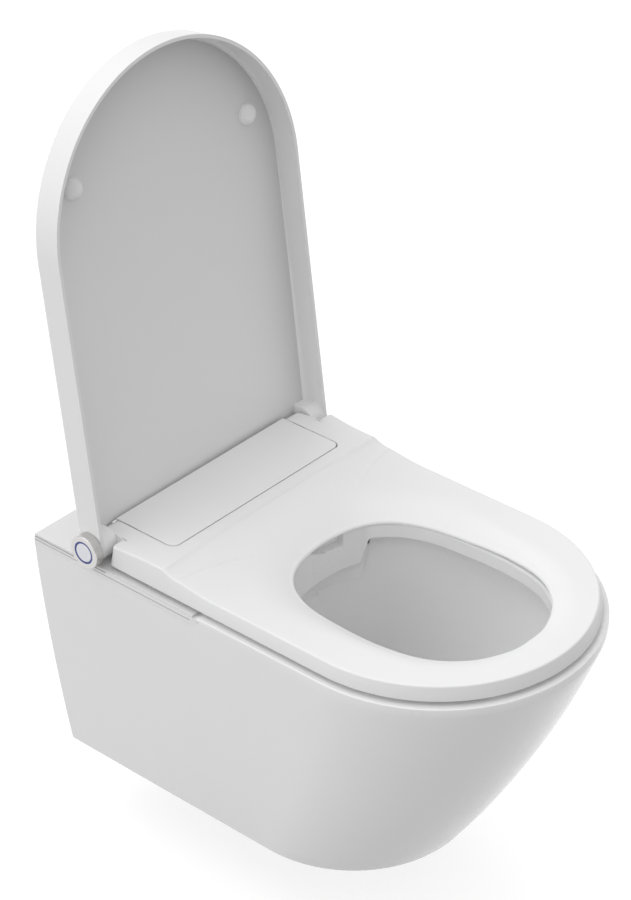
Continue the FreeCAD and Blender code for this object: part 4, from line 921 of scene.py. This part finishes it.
def inner_rim(sizes):
    """A band of china round the bowl's mouth, deeper at the rear where it hides the spray wand."""
    path = opening_outline(sizes.mesh_step)
    outward = [-normal for normal in inward(path)]
    crown = RIM + sizes.crown
    roll = sizes.roll
    above, under, below = (RIM - fall for fall in SHELF_LEVELS)
    work = bmesh.new()
    columns = []
    for point, normal in zip(path, outward):
        rear = step_between(point.y, *REAR_BAND)
        apron = rear * (1.0 - step_between(abs(point.x), sizes.apron_half - APRON_RAMP, sizes.apron_half))
        low = RIM - sizes.depth - (sizes.apron_depth - sizes.depth) * apron
        inset = sizes.inset + APRON_INSET * apron
        back = inset + sizes.wall
        profile = [(sizes.shelf, above), (inset + CROWN_WIDTH, crown)]
        profile += [(inset + roll * out, crown - roll * fall) for out, fall in quarter(5)]
        start, end = crown - roll, low + roll
        profile += [(inset, start + (end - start) * part / RIM_ROWS) for part in range(1, RIM_ROWS + 1)]
        profile += [(inset + roll * out, low + roll * fall) for fall, out in quarter(5, 1)]
        profile += [(back, low + 0.001), (back + 0.002, under), (sizes.shelf, below)]
        column = []
        for reach, height in profile:
            scoop = notch_depth(point.x, height, sizes) * rear if reach < back - 0.001 else 0.0
            spot = point + normal * (reach + scoop)
            column.append(work.verts.new((spot.x, spot.y, height)))
        columns.append(column)
    for here, there in zip(columns, columns[1:] + columns[:1]):
        strip(work, here, there)
    bmesh.ops.recalc_face_normals(work, faces=work.faces)
    door = split_door(work, sizes.door)
    rim = add_shape("inner_rim", work, 50.0, "base", "glazed_china")
    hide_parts("nozzle_shroud")
    add_shape("nozzle_door", door, 40.0, "wand", "glazed_china")


def notch_depth(across, height, sizes):
    """How far the apron's face is set back beside the nozzle."""
    past = sizes.notch_right - across
    low = RIM - NOTCH_FALL + NOTCH_RISE * step_between(past, 0.0, NOTCH_RUN)
    low += NOTCH_WAVE * math.sin(NOTCH_WAVES * past)
    beside = step_between(past, -0.0004, 0.0014)
    above = step_between(height - low, -0.0010, 0.0012)
    return sizes.notch_depth * beside * above


def wand_middle():
    """A point on the spray wand's axis."""
    low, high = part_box("nozzle_tip")
    return Vector((0.0, (low.y + high.y) / 2, (low.z + high.z) / 2))


def beside_axis(spot, start):
    """The arm to a spot from the nearest point of the line that the spray wand slides along."""
    arm = spot - start
    return arm - SLIDE * arm.dot(SLIDE)


def split_door(work, radius):
    """Part the round door in front of the wand from the apron, and give it some thickness."""
    start = wand_middle()

    def reach(face):
        return beside_axis(face.calc_center_median(), start).length

    ahead = [face for face in work.faces if face.normal.y < -0.5 and reach(face) < 2.0 * radius]
    for vert in {vert for face in ahead for vert in face.verts}:
        aside = beside_axis(vert.co, start)
        if abs(aside.length - radius) < DOOR_SNAP:
            vert.co += aside.normalized() * radius - aside
    inside_faces = [face for face in ahead if reach(face) < radius]
    if not inside_faces:
        raise RuntimeError("no room for the nozzle door")
    door = bmesh.new()
    copies = {}
    for face in inside_faces:
        for vert in face.verts:
            if vert not in copies:
                copies[vert] = door.verts.new(vert.co)
        door.faces.new([copies[vert] for vert in face.verts])
    behind = [face for face in work.faces if face.normal.y > 0.5 and abs(face.calc_center_median().x) < radius
              and min(vert.co.z for vert in face.verts) < start.z - radius]
    bmesh.ops.delete(work, geom=inside_faces + behind, context="FACES")
    back = bmesh.ops.extrude_face_region(door, geom=door.faces[:])
    for vert in (item for item in back["geom"] if isinstance(item, bmesh.types.BMVert)):
        vert.co -= SLIDE * DOOR_THICKNESS
    for vert in door.verts:
        vert.co -= beside_axis(vert.co, start) * DOOR_SHRINK
    bmesh.ops.recalc_face_normals(door, faces=door.faces)
    return door


def gasket_and_seam_shade_lips(ledge):
    """The thin grey edges of the gasket and of the deck cover's seal along the pan's two sides: partly their
    own colour, partly painted shade of the narrow seams.
    """
    low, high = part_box("base_plate")
    rear = high.y - 0.0005
    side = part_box("ceramic_pan")[1].x + LIP_STANDS_OUT - LIP_WIDTH / 2
    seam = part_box("deck_cover")[0].z
    work = bmesh.new()
    for sign in (-1.0, 1.0):
        for middle, front, thick in ((ledge, low.y + 0.010, 0.0004), (seam, HINGE.y - 0.02, 0.0003)):
            block(work, (sign * side, (front + rear) / 2, middle), (LIP_WIDTH, rear - front, thick))
    add_shape("gasket_and_seam_shade_lips", work, 30.0, "base", "gasket_and_seam_shade_grey")


def block(work, middle, size):
    """A plain block about a point."""
    bmesh.ops.create_cube(work, size=1.0, matrix=Matrix.Translation(middle) @ Matrix.Diagonal((*size, 1.0)))


def bay_lining(pan, room):
    """A sheet of china that carries the bowl's rear wall across the mouth of the wash unit's bay."""
    bowl = BVHTree.FromPolygons([vert.co.copy() for vert in pan.data.vertices],
                                [tuple(face.vertices) for face in pan.data.polygons])
    heart = LINING_HEART
    rows, columns = 30, 90
    fan = math.radians(LINING_FAN)
    side = 5
    work = bmesh.new()
    verts = {}
    kept = {}
    for row in range(rows):
        height = RIM - LINING_TOP - LINING_FALL * row / (rows - 1)
        rays = []
        for column in range(columns):
            angle = math.pi / 2 + fan * (2 * column / (columns - 1) - 1.0)
            rays.append(Vector((math.cos(angle), math.sin(angle), 0.0)))
        plain = [1.0 / math.hypot(ray.x / LINING_WIDTH, ray.y / LINING_DEPTH) for ray in rays]
        hits = [bowl.ray_cast(Vector((0.0, heart, height)), ray, 0.4)[3] for ray in rays]
        beside = (hits[side] or plain[side]) - plain[side]
        ratio = [hit / usual if hit is not None and abs(hit - usual - beside) < LINING_MATCH else None
                 for hit, usual in zip(hits, plain)]
        first = next((index for index in range(columns) if ratio[index] is None), None)
        last = next((index for index in reversed(range(columns)) if ratio[index] is None), None)
        for column in range(columns):
            if first is None or column < first or column > last:
                reach = plain[column] * (ratio[column] or 1.0) + LINING_SUNK
                kept[row, column] = True
            else:
                left = ratio[first - 1] if first > 0 else 1.0
                right = ratio[last + 1] if last + 1 < columns else 1.0
                part = (column - first) / max(1, last - first)
                reach = plain[column] * (left + (right - left) * part)
                kept[row, column] = False
            spot = (reach * rays[column].x, heart + reach * rays[column].y, height)
            verts[row, column] = work.verts.new(spot)
    for row in range(rows - 1):
        for column in range(columns - 1):
            corners = [(row, column), (row + 1, column), (row + 1, column + 1), (row, column + 1)]
            if not all(kept[corner] for corner in corners):
                work.faces.new([verts[corner] for corner in corners])
    start = wand_middle()
    bmesh.ops.delete(work, geom=[face for face in work.faces if min(
        beside_axis(vert.co, start).length for vert in face.verts) < room], context="FACES")
    bmesh.ops.delete(work, geom=[vert for vert in work.verts if not vert.link_faces], context="VERTS")
    if not work.faces:
        raise RuntimeError("the bay's mouth was not found")
    bmesh.ops.recalc_face_normals(work, faces=work.faces)
    if sum(face.normal.y for face in work.faces) > 0.0:
        bmesh.ops.reverse_faces(work, faces=work.faces)
    add_shape("bay_lining", work, 60.0, "base", "glazed_china")


def hinge_well():
    """A low wall behind the hinge that closes the view under the lid."""
    top = HINGE.z + WELL_RISE
    work = bmesh.new()
    block(work, (0.0, HINGE.y + WELL_BEHIND, (RIM + top) / 2), (WELL_LENGTH, WELL_THICKNESS, top - RIM))
    add_shape("hinge_well", work, 30.0, "base", "chassis_moulding")


# Lid and wash unit

BLOCK_TOP = 0.034
CORNER_SLACK = 0.0001
LINER_EDGE = 0.0003
LINER_SUNK = 0.0005
LINER_STEP = 0.011
CREST_PIECES = 96
# How strong and how far the liner's painted shade reaches near the crest and near the right wall.
SHADE_TOP = 0.62
SHADE_TOP_RUN = 0.05
SHADE_SIDE = 0.42
SHADE_SIDE_RUN = 0.035
TAIL_SIDE_END = -0.006
TAIL_THICKNESS = 0.002
TAIL_LAP = 0.001


class BIDET_OT_mouldings(bpy.types.Operator):
    """Finish the lid, its blocks and buffers, and the wash unit's mouldings"""

    bl_idname = "bidet.mouldings"
    bl_label = "Lid and wash unit mouldings"

    def execute(self, context):
        for node in ("lid_hinge_blocks", "service_cover", "deck_cover", "base_plate", "seat_buffers"):
            smooth_copy(node)
        shape_lid(smooth_copy("lid_shell"), context.scene.bidet_lid)
        return {"FINISHED"}


def shape_lid(lid, sizes):
    """Draw the lid's crest out a little and tighten the corner between its inner face and its wall."""
    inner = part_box("lid_shell")[1].x - sizes.wall
    crest = sizes.lid_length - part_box("lid_shell")[1].x
    origin = on_lid(0.0, 0.0, 0.0)
    up = on_lid(0.0, 1.0, 0.0) - origin
    ahead = on_lid(0.0, 0.0, 1.0) - origin
    for vert in lid.data.vertices:
        arm = vert.co - origin
        along, height = arm.dot(up), arm.dot(ahead)
        across = Vector((arm.x, max(0.0, along - crest)))
        gap = inner - across.length
        rise = height + sizes.face
        near = all(-CORNER_SLACK < reach < sizes.corner + CORNER_SLACK for reach in (gap, rise))
        if near and along > BLOCK_TOP:
            outward = across.normalized() * gap * (1.0 - sizes.tight)
            vert.co.x += outward.x
            vert.co += up * outward.y - ahead * rise * (1.0 - sizes.tight)
        if along > crest - 0.001:
            vert.co += up * sizes.draw
    lid.data.update()
    soften(lid.data, 28.0)


class BIDET_OT_lid_inside(bpy.types.Operator):
    """Line the lid's inner face, close it towards the hinge, and set its two round buffers"""

    bl_idname = "bidet.lid_inside"
    bl_label = "Lid liner and buffers"

    def execute(self, context):
        sizes = context.scene.bidet_lid
        lid_liner(sizes)
        lid_tail(sizes)
        lid_buffers(sizes)
        return {"FINISHED"}


def on_lid(across, along, height):
    """A point of the lid as it stands open: across, up from the hinge, and towards the front."""
    turn = math.radians(-JOINTS["lid_hinge"]["range_deg"][0] - 90.0)
    return Vector((across, HINGE.y + along * math.sin(turn) - height * math.cos(turn),
                   HINGE.z + along * math.cos(turn) + height * math.sin(turn)))


def lid_liner(sizes):
    """A thin plate on the lid's inner face, its edge a crisp line in front of the wall, with painted shade
    towards the crest and the right wall.
    """
    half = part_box("lid_shell")[1].x - sizes.wall - sizes.liner_gap
    crest = sizes.lid_length + sizes.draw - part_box("lid_shell")[1].x
    outline = [Vector((half, sizes.start)), Vector((half, crest))]
    outline += [Vector((half * math.cos(angle), crest + half * math.sin(angle)))
                for angle in (math.pi * part / CREST_PIECES for part in range(1, CREST_PIECES))]
    outline += [Vector((-half, crest)), Vector((-half, sizes.start))]
    front = sizes.liner - sizes.face
    levels = [(0.0, -sizes.face - LINER_SUNK), (0.0, front - LINER_EDGE), (LINER_EDGE, front)]
    work = bmesh.new()
    painted_shade = work.verts.layers.float.new("painted_shade")
    normals = inward(outline)

    def ring(inset):
        """The outline drawn in, but for its two lower corners."""
        return [point + normal * inset if 0 < index < len(outline) - 1 else point
                for index, (point, normal) in enumerate(zip(outline, normals))]

    rows = [[work.verts.new(on_lid(spot.x, spot.y, height)) for spot in ring(inset)]
            for inset, height in levels]
    for lower, upper in zip(rows, rows[1:]):
        strip(work, upper, lower)
    spots, faces, border = fill(ring(LINER_EDGE), [], LINER_STEP)
    top = rows[-1] + [work.verts.new(on_lid(spot.x, spot.y, front)) for spot in spots[border:]]
    for corners in faces:
        work.faces.new([top[index] for index in corners])
    work.faces.new(list(reversed(rows[0])))
    # Painted shade: how much darker each point is drawn, more near the crest and near the right wall.
    for vert, spot in zip(top, spots):
        gap = half - math.hypot(spot.x, max(0.0, spot.y - crest))
        high = step_between(spot.y, crest - 0.06, crest + half * 0.8)
        right = step_between(spot.x, 0.02, half)
        above = SHADE_TOP * high * math.exp(-gap / SHADE_TOP_RUN)
        aside = SHADE_SIDE * right * math.exp(-gap / SHADE_SIDE_RUN) * (1.0 - 0.6 * high)
        vert[painted_shade] = above + aside
    bmesh.ops.recalc_face_normals(work, faces=work.faces)
    add_shape("lid_liner", work, 30.0, "lid", "lid_liner")


def lid_tail(sizes):
    """The lid's inner face carried down behind the wash unit's cover, and further beside it."""
    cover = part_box("service_cover")[1].x + 0.001
    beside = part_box("lid_hinge_blocks")[1].x - 0.0205
    top = sizes.start + TAIL_LAP
    work = bmesh.new()
    for left, right, low in ((-beside, -cover, TAIL_SIDE_END), (-cover, cover, sizes.tail),
                             (cover, beside, TAIL_SIDE_END)):
        outline = ((left, low), (right, low), (right, top), (left, top))
        corners = [work.verts.new(on_lid(across, along, height))
                   for height in (-sizes.face, -sizes.face - TAIL_THICKNESS) for across, along in outline]
        for face in ((0, 1, 2, 3), (7, 6, 5, 4), (0, 4, 5, 1), (1, 5, 6, 2), (2, 6, 7, 3), (3, 7, 4, 0)):
            work.faces.new([corners[index] for index in face])
    bmesh.ops.recalc_face_normals(work, faces=work.faces)
    add_shape("lid_tail", work, 30.0, "lid", "lid_liner")


def lid_buffers(sizes):
    """Two soft domed buttons, one rule for both."""
    lean = (on_lid(0.0, 0.0, 1.0) - on_lid(0.0, 0.0, 0.0)).to_track_quat("Z", "Y").to_euler()
    rule = RuleTree("Lid buffers", {"Radius": sizes.buffer_radius, "Height": sizes.buffer_height,
                                    "Turn": tuple(lean)})
    given = rule.given
    ball = rule.node("GeometryNodeMeshUVSphere", {"Segments": 48, "Rings": 24, "Radius": given["Radius"]})
    across, along, up = rule.place()
    seated = rule.sum("MAXIMUM", up, rule.sum("MULTIPLY", given["Radius"], -0.1))
    spot = rule.node("ShaderNodeCombineXYZ", {"X": across, "Y": along, "Z": seated}).outputs["Vector"]
    dome = rule.node("GeometryNodeSetPosition", {"Geometry": ball.outputs["Mesh"], "Position": spot})
    height = rule.sum("DIVIDE", given["Height"], given["Radius"])
    scale = rule.node("ShaderNodeCombineXYZ", {"X": 1.0, "Y": 1.0, "Z": height}).outputs["Vector"]
    points = rule.node("GeometryNodeMeshToPoints", {"Mesh": given["Geometry"]}).outputs["Points"]
    placed = rule.node("GeometryNodeInstanceOnPoints", {
        "Points": points, "Instance": dome.outputs["Geometry"], "Scale": scale, "Rotation": given["Turn"]})
    start = bpy.data.meshes.new("lid_buffer_places")
    start.from_pydata([on_lid(right, above, -sizes.face + sizes.liner) for right, above in (
        (-sizes.buffer_left, sizes.buffer_left_up), (sizes.buffer_right, sizes.buffer_right_up))], [], [])
    domes = rule.piece("lid_buffer_domes", placed.outputs["Instances"], start, 40.0, "lid", "soft_rubber")
    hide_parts("lid_buffers")


# Knob and works

FIN_MARGIN = 0.008
PIN_MARGIN = 0.005
PIN_INSET = 0.003
BAND_PITCH = 0.008
BAND_RADIUS = 0.0122
BAND_WIRE = 0.0005
COIL_RADIUS = 0.0090
COIL_TOP = 0.0008
THREAD_RADIUS = 0.0104
THREAD_FOOT = 0.002
THREAD_MARGIN = 0.007
RIB_RING = 0.009
RIB_RADIUS = 0.0005
RIB_HEIGHT = 0.013
RIB_MIDDLE = 0.0085


class BIDET_OT_knob(bpy.types.Operator):
    """Finish the brushed knob, its light ring and push cap"""

    bl_idname = "bidet.knob"
    bl_label = "Control knob"

    def execute(self, context):
        growth = context.scene.bidet_lid.knob_growth
        for node in ("knob_body", "knob_light_ring", "knob_push_cap"):
            piece = smooth_copy(node)
            for vert in piece.data.vertices:
                vert.co.y = HINGE.y + (vert.co.y - HINGE.y) * growth
                vert.co.z = HINGE.z + (vert.co.z - HINGE.z) * growth
            piece.data.update()
        return {"FINISHED"}


class BIDET_OT_works(bpy.types.Operator):
    """Give every CAD piece its finish: hinge, wand and what stands inside the wash unit"""

    bl_idname = "bidet.works"
    bl_label = "Hinge, wand and works"

    def execute(self, context):
        for node, obj in frame["nodes"].items():
            coat(obj, SLOT_OF[node])
        return {"FINISHED"}


class BIDET_OT_works_trim(bpy.types.Operator):
    """Add what repeats on the works: fins, bands, winding, pins, thread and ribs"""

    bl_idname = "bidet.works_trim"
    bl_label = "Fins, bands and winding"

    def execute(self, context):
        sizes = context.scene.bidet_trim
        low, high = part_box("flow_heater")
        pitch, tall = sizes.fin_pitch, sizes.fin_height
        block_row("heater_fins", SLOT_OF["flow_heater"], int((sizes.fin_run - FIN_MARGIN) / pitch),
                  (low.x + 0.006, (low.y + high.y) / 2, high.z + tall / 2 - SUNK), (pitch, 0.0, 0.0),
                  (pitch * 0.4, high.y - low.y - FIN_MARGIN, tall))
        low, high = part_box("control_board")
        pitch, tall, thick = sizes.pin_pitch, sizes.pin_height, sizes.pin_width
        middle = low.z + sizes.board + tall / 2 - SUNK
        block_row("board_pins", "brass", int((high.x - low.x - 2 * PIN_MARGIN) / pitch),
                  (low.x + PIN_MARGIN, high.y - PIN_INSET, middle), (pitch, 0.0, 0.0), (thick, thick, tall))
        low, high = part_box("water_pump")
        ring_stack("pump_bands", "steel", 4, (low.x + BAND_PITCH, (low.y + high.y) / 2, (low.z + high.z) / 2),
                   (BAND_PITCH, 0.0, 0.0), BAND_RADIUS, BAND_WIRE, (0.0, math.pi / 2, 0.0))
        across, along, foot, top = upright("inlet_valve")
        wire, coil = sizes.wire, sizes.coil
        ring_stack("valve_winding", "copper_winding", int(coil / (2 * wire)),
                   (across, along, top - COIL_TOP - coil), (0.0, 0.0, 2 * wire),
                   COIL_RADIUS + wire * 0.6, wire)
        across, along, foot, top = upright("water_inlet")
        pitch = sizes.thread_pitch
        ring_stack("inlet_thread", SLOT_OF["water_inlet"], int((top - foot - THREAD_MARGIN) / pitch),
                   (across, along, foot + THREAD_FOOT), (0.0, 0.0, pitch), THREAD_RADIUS, pitch * 0.24)
        across, along, foot, top = upright("power_gland")
        rib_ring("gland_ribs", SLOT_OF["power_gland"], sizes.gland_ribs, (across, along, foot + RIB_MIDDLE),
                 RIB_RING, RIB_RADIUS, RIB_HEIGHT)
        return {"FINISHED"}


def upright(node):
    """Where an upright piece's middle stands, and its lowest and highest levels."""
    low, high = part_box(node)
    return (low.x + high.x) / 2, (low.y + high.y) / 2, low.z, high.z


def settle(rule, name, slot, points, instance, **sockets):
    """End a rule in a plain piece of the base, with an instance at each point."""
    sockets = {"Points": points, "Instance": instance, **sockets}
    placed = rule.node("GeometryNodeInstanceOnPoints", sockets)
    start = bpy.data.meshes.new(f"{name} start")
    start.from_pydata([(0.0, 0.0, 0.0)], [], [])
    rule.piece(name, placed.outputs["Instances"], start, 35.0, "base", slot)


def row_points(rule):
    """Points in a straight row."""
    given = rule.given
    return rule.node("GeometryNodeMeshLine", {"Count": given["Count"], "Start Location": given["Start"],
                                              "Offset": given["Step"]}, mode="OFFSET").outputs["Mesh"]


def block_row(name, slot, count, start, step, size):
    """A row of equal blocks."""
    rule = RuleTree(f"{name} rule", {"Count": count, "Start": start, "Step": step, "Block": size})
    cube = rule.node("GeometryNodeMeshCube", {"Size": rule.given["Block"]})
    settle(rule, name, slot, row_points(rule), cube.outputs["Mesh"])


def ring_stack(name, slot, count, start, step, radius, wire, turn=(0.0, 0.0, 0.0)):
    """Equal rings of round wire, one after another along an axis."""
    rule = RuleTree(f"{name} rule", {"Count": count, "Start": start, "Step": step, "Radius": radius,
                                     "Wire": wire, "Turn": turn})

    def circle(label, points):
        sockets = {"Resolution": points, "Radius": rule.given[label]}
        return rule.node("GeometryNodeCurvePrimitiveCircle", sockets, mode="RADIUS").outputs["Curve"]

    ring = rule.node("GeometryNodeCurveToMesh", {"Curve": circle("Radius", 56),
                                                 "Profile Curve": circle("Wire", 10)})
    settle(rule, name, slot, row_points(rule), ring.outputs["Mesh"], Rotation=rule.given["Turn"])


def rib_ring(name, slot, count, centre, radius, rib, height):
    """Upright round ribs in a ring."""
    rule = RuleTree(f"{name} rule", {"Count": count, "Centre": centre, "Radius": radius, "Rib": rib,
                                     "Height": height})
    given = rule.given
    ring = rule.node("GeometryNodeMeshCircle", {"Vertices": given["Count"], "Radius": given["Radius"]})
    shifted = rule.node("GeometryNodeSetPosition", {"Geometry": ring.outputs["Mesh"],
                                                    "Offset": given["Centre"]})
    rod = rule.node("GeometryNodeMeshCylinder", {"Vertices": 14, "Radius": given["Rib"],
                                                 "Depth": given["Height"]})
    settle(rule, name, slot, shifted.outputs["Geometry"], rod.outputs["Mesh"])


# Studio

class BIDET_OT_stage(bpy.types.Operator):
    """Set up the pale floor, soft light and the camera"""

    bl_idname = "bidet.stage"
    bl_label = "Studio"

    def execute(self, context):
        scene = context.scene
        sizes = scene.bidet_stage
        scene.view_settings.view_transform = "Standard"
        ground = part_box("ceramic_pan")[0].z - sizes.floor_gap
        mesh = bpy.data.meshes.new("studio_floor")
        corners = [(across * FLOOR_HALF, along * FLOOR_HALF, ground)
                   for across, along in ((-1, -1), (1, -1), (1, 1), (-1, 1))]
        mesh.from_pydata(corners, [], [(0, 1, 2, 3)])
        floor = bpy.data.objects.new("studio_floor", mesh)
        scene.collection.objects.link(floor)
        floor.data.materials.append(pale_floor("studio_floor"))
        studio_world(scene, sizes.ambient, sizes.lean)
        soft_light("studio_key", (-0.05, 0.3, 1.0), sizes.spread, sizes.key)
        soft_light("studio_fill", (-1.0, 0.4, 0.2), sizes.spread, sizes.fill)
        camera = bpy.data.objects.new("photo_camera", bpy.data.cameras.new("photo_camera"))
        scene.collection.objects.link(camera)
        camera.location = CAMERA_PLACE
        camera.rotation_euler = (math.pi / 2 - CAMERA_DIP, 0.0, -CAMERA_TURN)
        camera.data.lens = CAMERA_LENS
        camera.data.sensor_width = 36.0
        camera.data.shift_x, camera.data.shift_y = CAMERA_SHIFT
        scene.camera = camera
        return {"FINISHED"}


def pale_floor(name):
    """A white floor that keeps a soft shadow: part of its white is lit, and part is shown to the camera."""
    material = bpy.data.materials.new(name)
    material.use_nodes = True
    tree = material.node_tree
    tree.nodes.clear()
    rays = put(tree, "ShaderNodeLightPath").outputs
    direct = {0: rays["Is Camera Ray"], 1: rays["Is Glossy Ray"]}
    seen = put(tree, "ShaderNodeMath", direct, operation="MAXIMUM")
    white = put(tree, "ShaderNodeMath", {0: seen.outputs[0], 1: 0.75}, operation="MULTIPLY")
    shown = put(tree, "ShaderNodeEmission", {"Strength": white.outputs[0]})
    lit = put(tree, "ShaderNodeBsdfDiffuse", {"Color": (0.36, 0.36, 0.36, 1.0)})
    both = put(tree, "ShaderNodeAddShader", {0: lit.outputs[0], 1: shown.outputs[0]})
    put(tree, "ShaderNodeOutputMaterial", {"Surface": both.outputs[0]})
    return material


def studio_world(scene, ambient, lean):
    """Soft light from all round, a little stronger behind, and plain white past the floor's edge."""
    world = bpy.data.worlds.new("studio")
    scene.world = world
    world.use_nodes = True
    tree = world.node_tree
    place = put(tree, "ShaderNodeTexCoord").outputs["Generated"]
    facing = put(tree, "ShaderNodeVectorMath", {0: place, 1: (-0.25, 0.75, 0.6)}, operation="DOT_PRODUCT")
    around = put(tree, "ShaderNodeMapRange", {"Value": facing.outputs["Value"], "From Min": -1.0,
                                              "To Min": ambient - lean, "To Max": ambient + lean})
    seen = put(tree, "ShaderNodeLightPath").outputs["Is Camera Ray"]
    shown = {"Value": seen, "To Min": around.outputs["Result"], "To Max": 1.0}
    strength = put(tree, "ShaderNodeMapRange", shown)
    sky = tree.nodes["Background"]
    feed(tree, sky.inputs["Color"], (1.0, 1.0, 1.0, 1.0))
    feed(tree, sky.inputs["Strength"], strength.outputs["Result"])


def soft_light(name, side, spread, strength):
    """A wide even light from one side, with soft shadows."""
    data = bpy.data.lights.new(name, "SUN")
    data.angle = math.radians(spread)
    data.energy = strength
    lamp = bpy.data.objects.new(name, data)
    bpy.context.scene.collection.objects.link(lamp)
    lamp.location = side
    lamp.rotation_euler = (-Vector(side)).to_track_quat("-Z", "Y").to_euler()


# Panel and registration

class BIDET_PT_panel(bpy.types.Panel):
    """Lists the operators that dress the toilet"""

    bl_idname = "BIDET_PT_panel"
    bl_label = "Bidet toilet"
    bl_space_type = "VIEW_3D"
    bl_region_type = "UI"
    bl_category = "Bidet"

    def draw(self, context):
        for operator in OPERATORS:
            self.layout.operator(operator.bl_idname)


OPERATORS = (BIDET_OT_works, BIDET_OT_works_trim, BIDET_OT_china, BIDET_OT_seat, BIDET_OT_mouldings,
             BIDET_OT_lid_inside, BIDET_OT_knob, BIDET_OT_stage)
GROUPS = {"bidet_seat": BidetSeatSizes, "bidet_rim": BidetRimSizes, "bidet_lid": BidetLidSizes,
          "bidet_trim": BidetTrimSizes, "bidet_finish": BidetFinish, "bidet_stage": BidetStageSizes}


def register():
    for group in GROUPS.values():
        bpy.utils.register_class(group)
    for name, group in GROUPS.items():
        setattr(bpy.types.Scene, name, PointerProperty(type=group))
    for operator in (*OPERATORS, BIDET_PT_panel):
        bpy.utils.register_class(operator)


def unregister():
    for operator in reversed((*OPERATORS, BIDET_PT_panel)):
        bpy.utils.unregister_class(operator)
    for name, group in GROUPS.items():
        delattr(bpy.types.Scene, name)
        bpy.utils.unregister_class(group)


def main():
    register()
    bpy.ops.bidet.works()
    bpy.ops.bidet.works_trim()
    bpy.ops.bidet.china()
    bpy.ops.bidet.seat()
    bpy.ops.bidet.mouldings()
    bpy.ops.bidet.lid_inside()
    bpy.ops.bidet.knob()
    bpy.ops.bidet.stage()


if __name__ == "__main__":
    main()
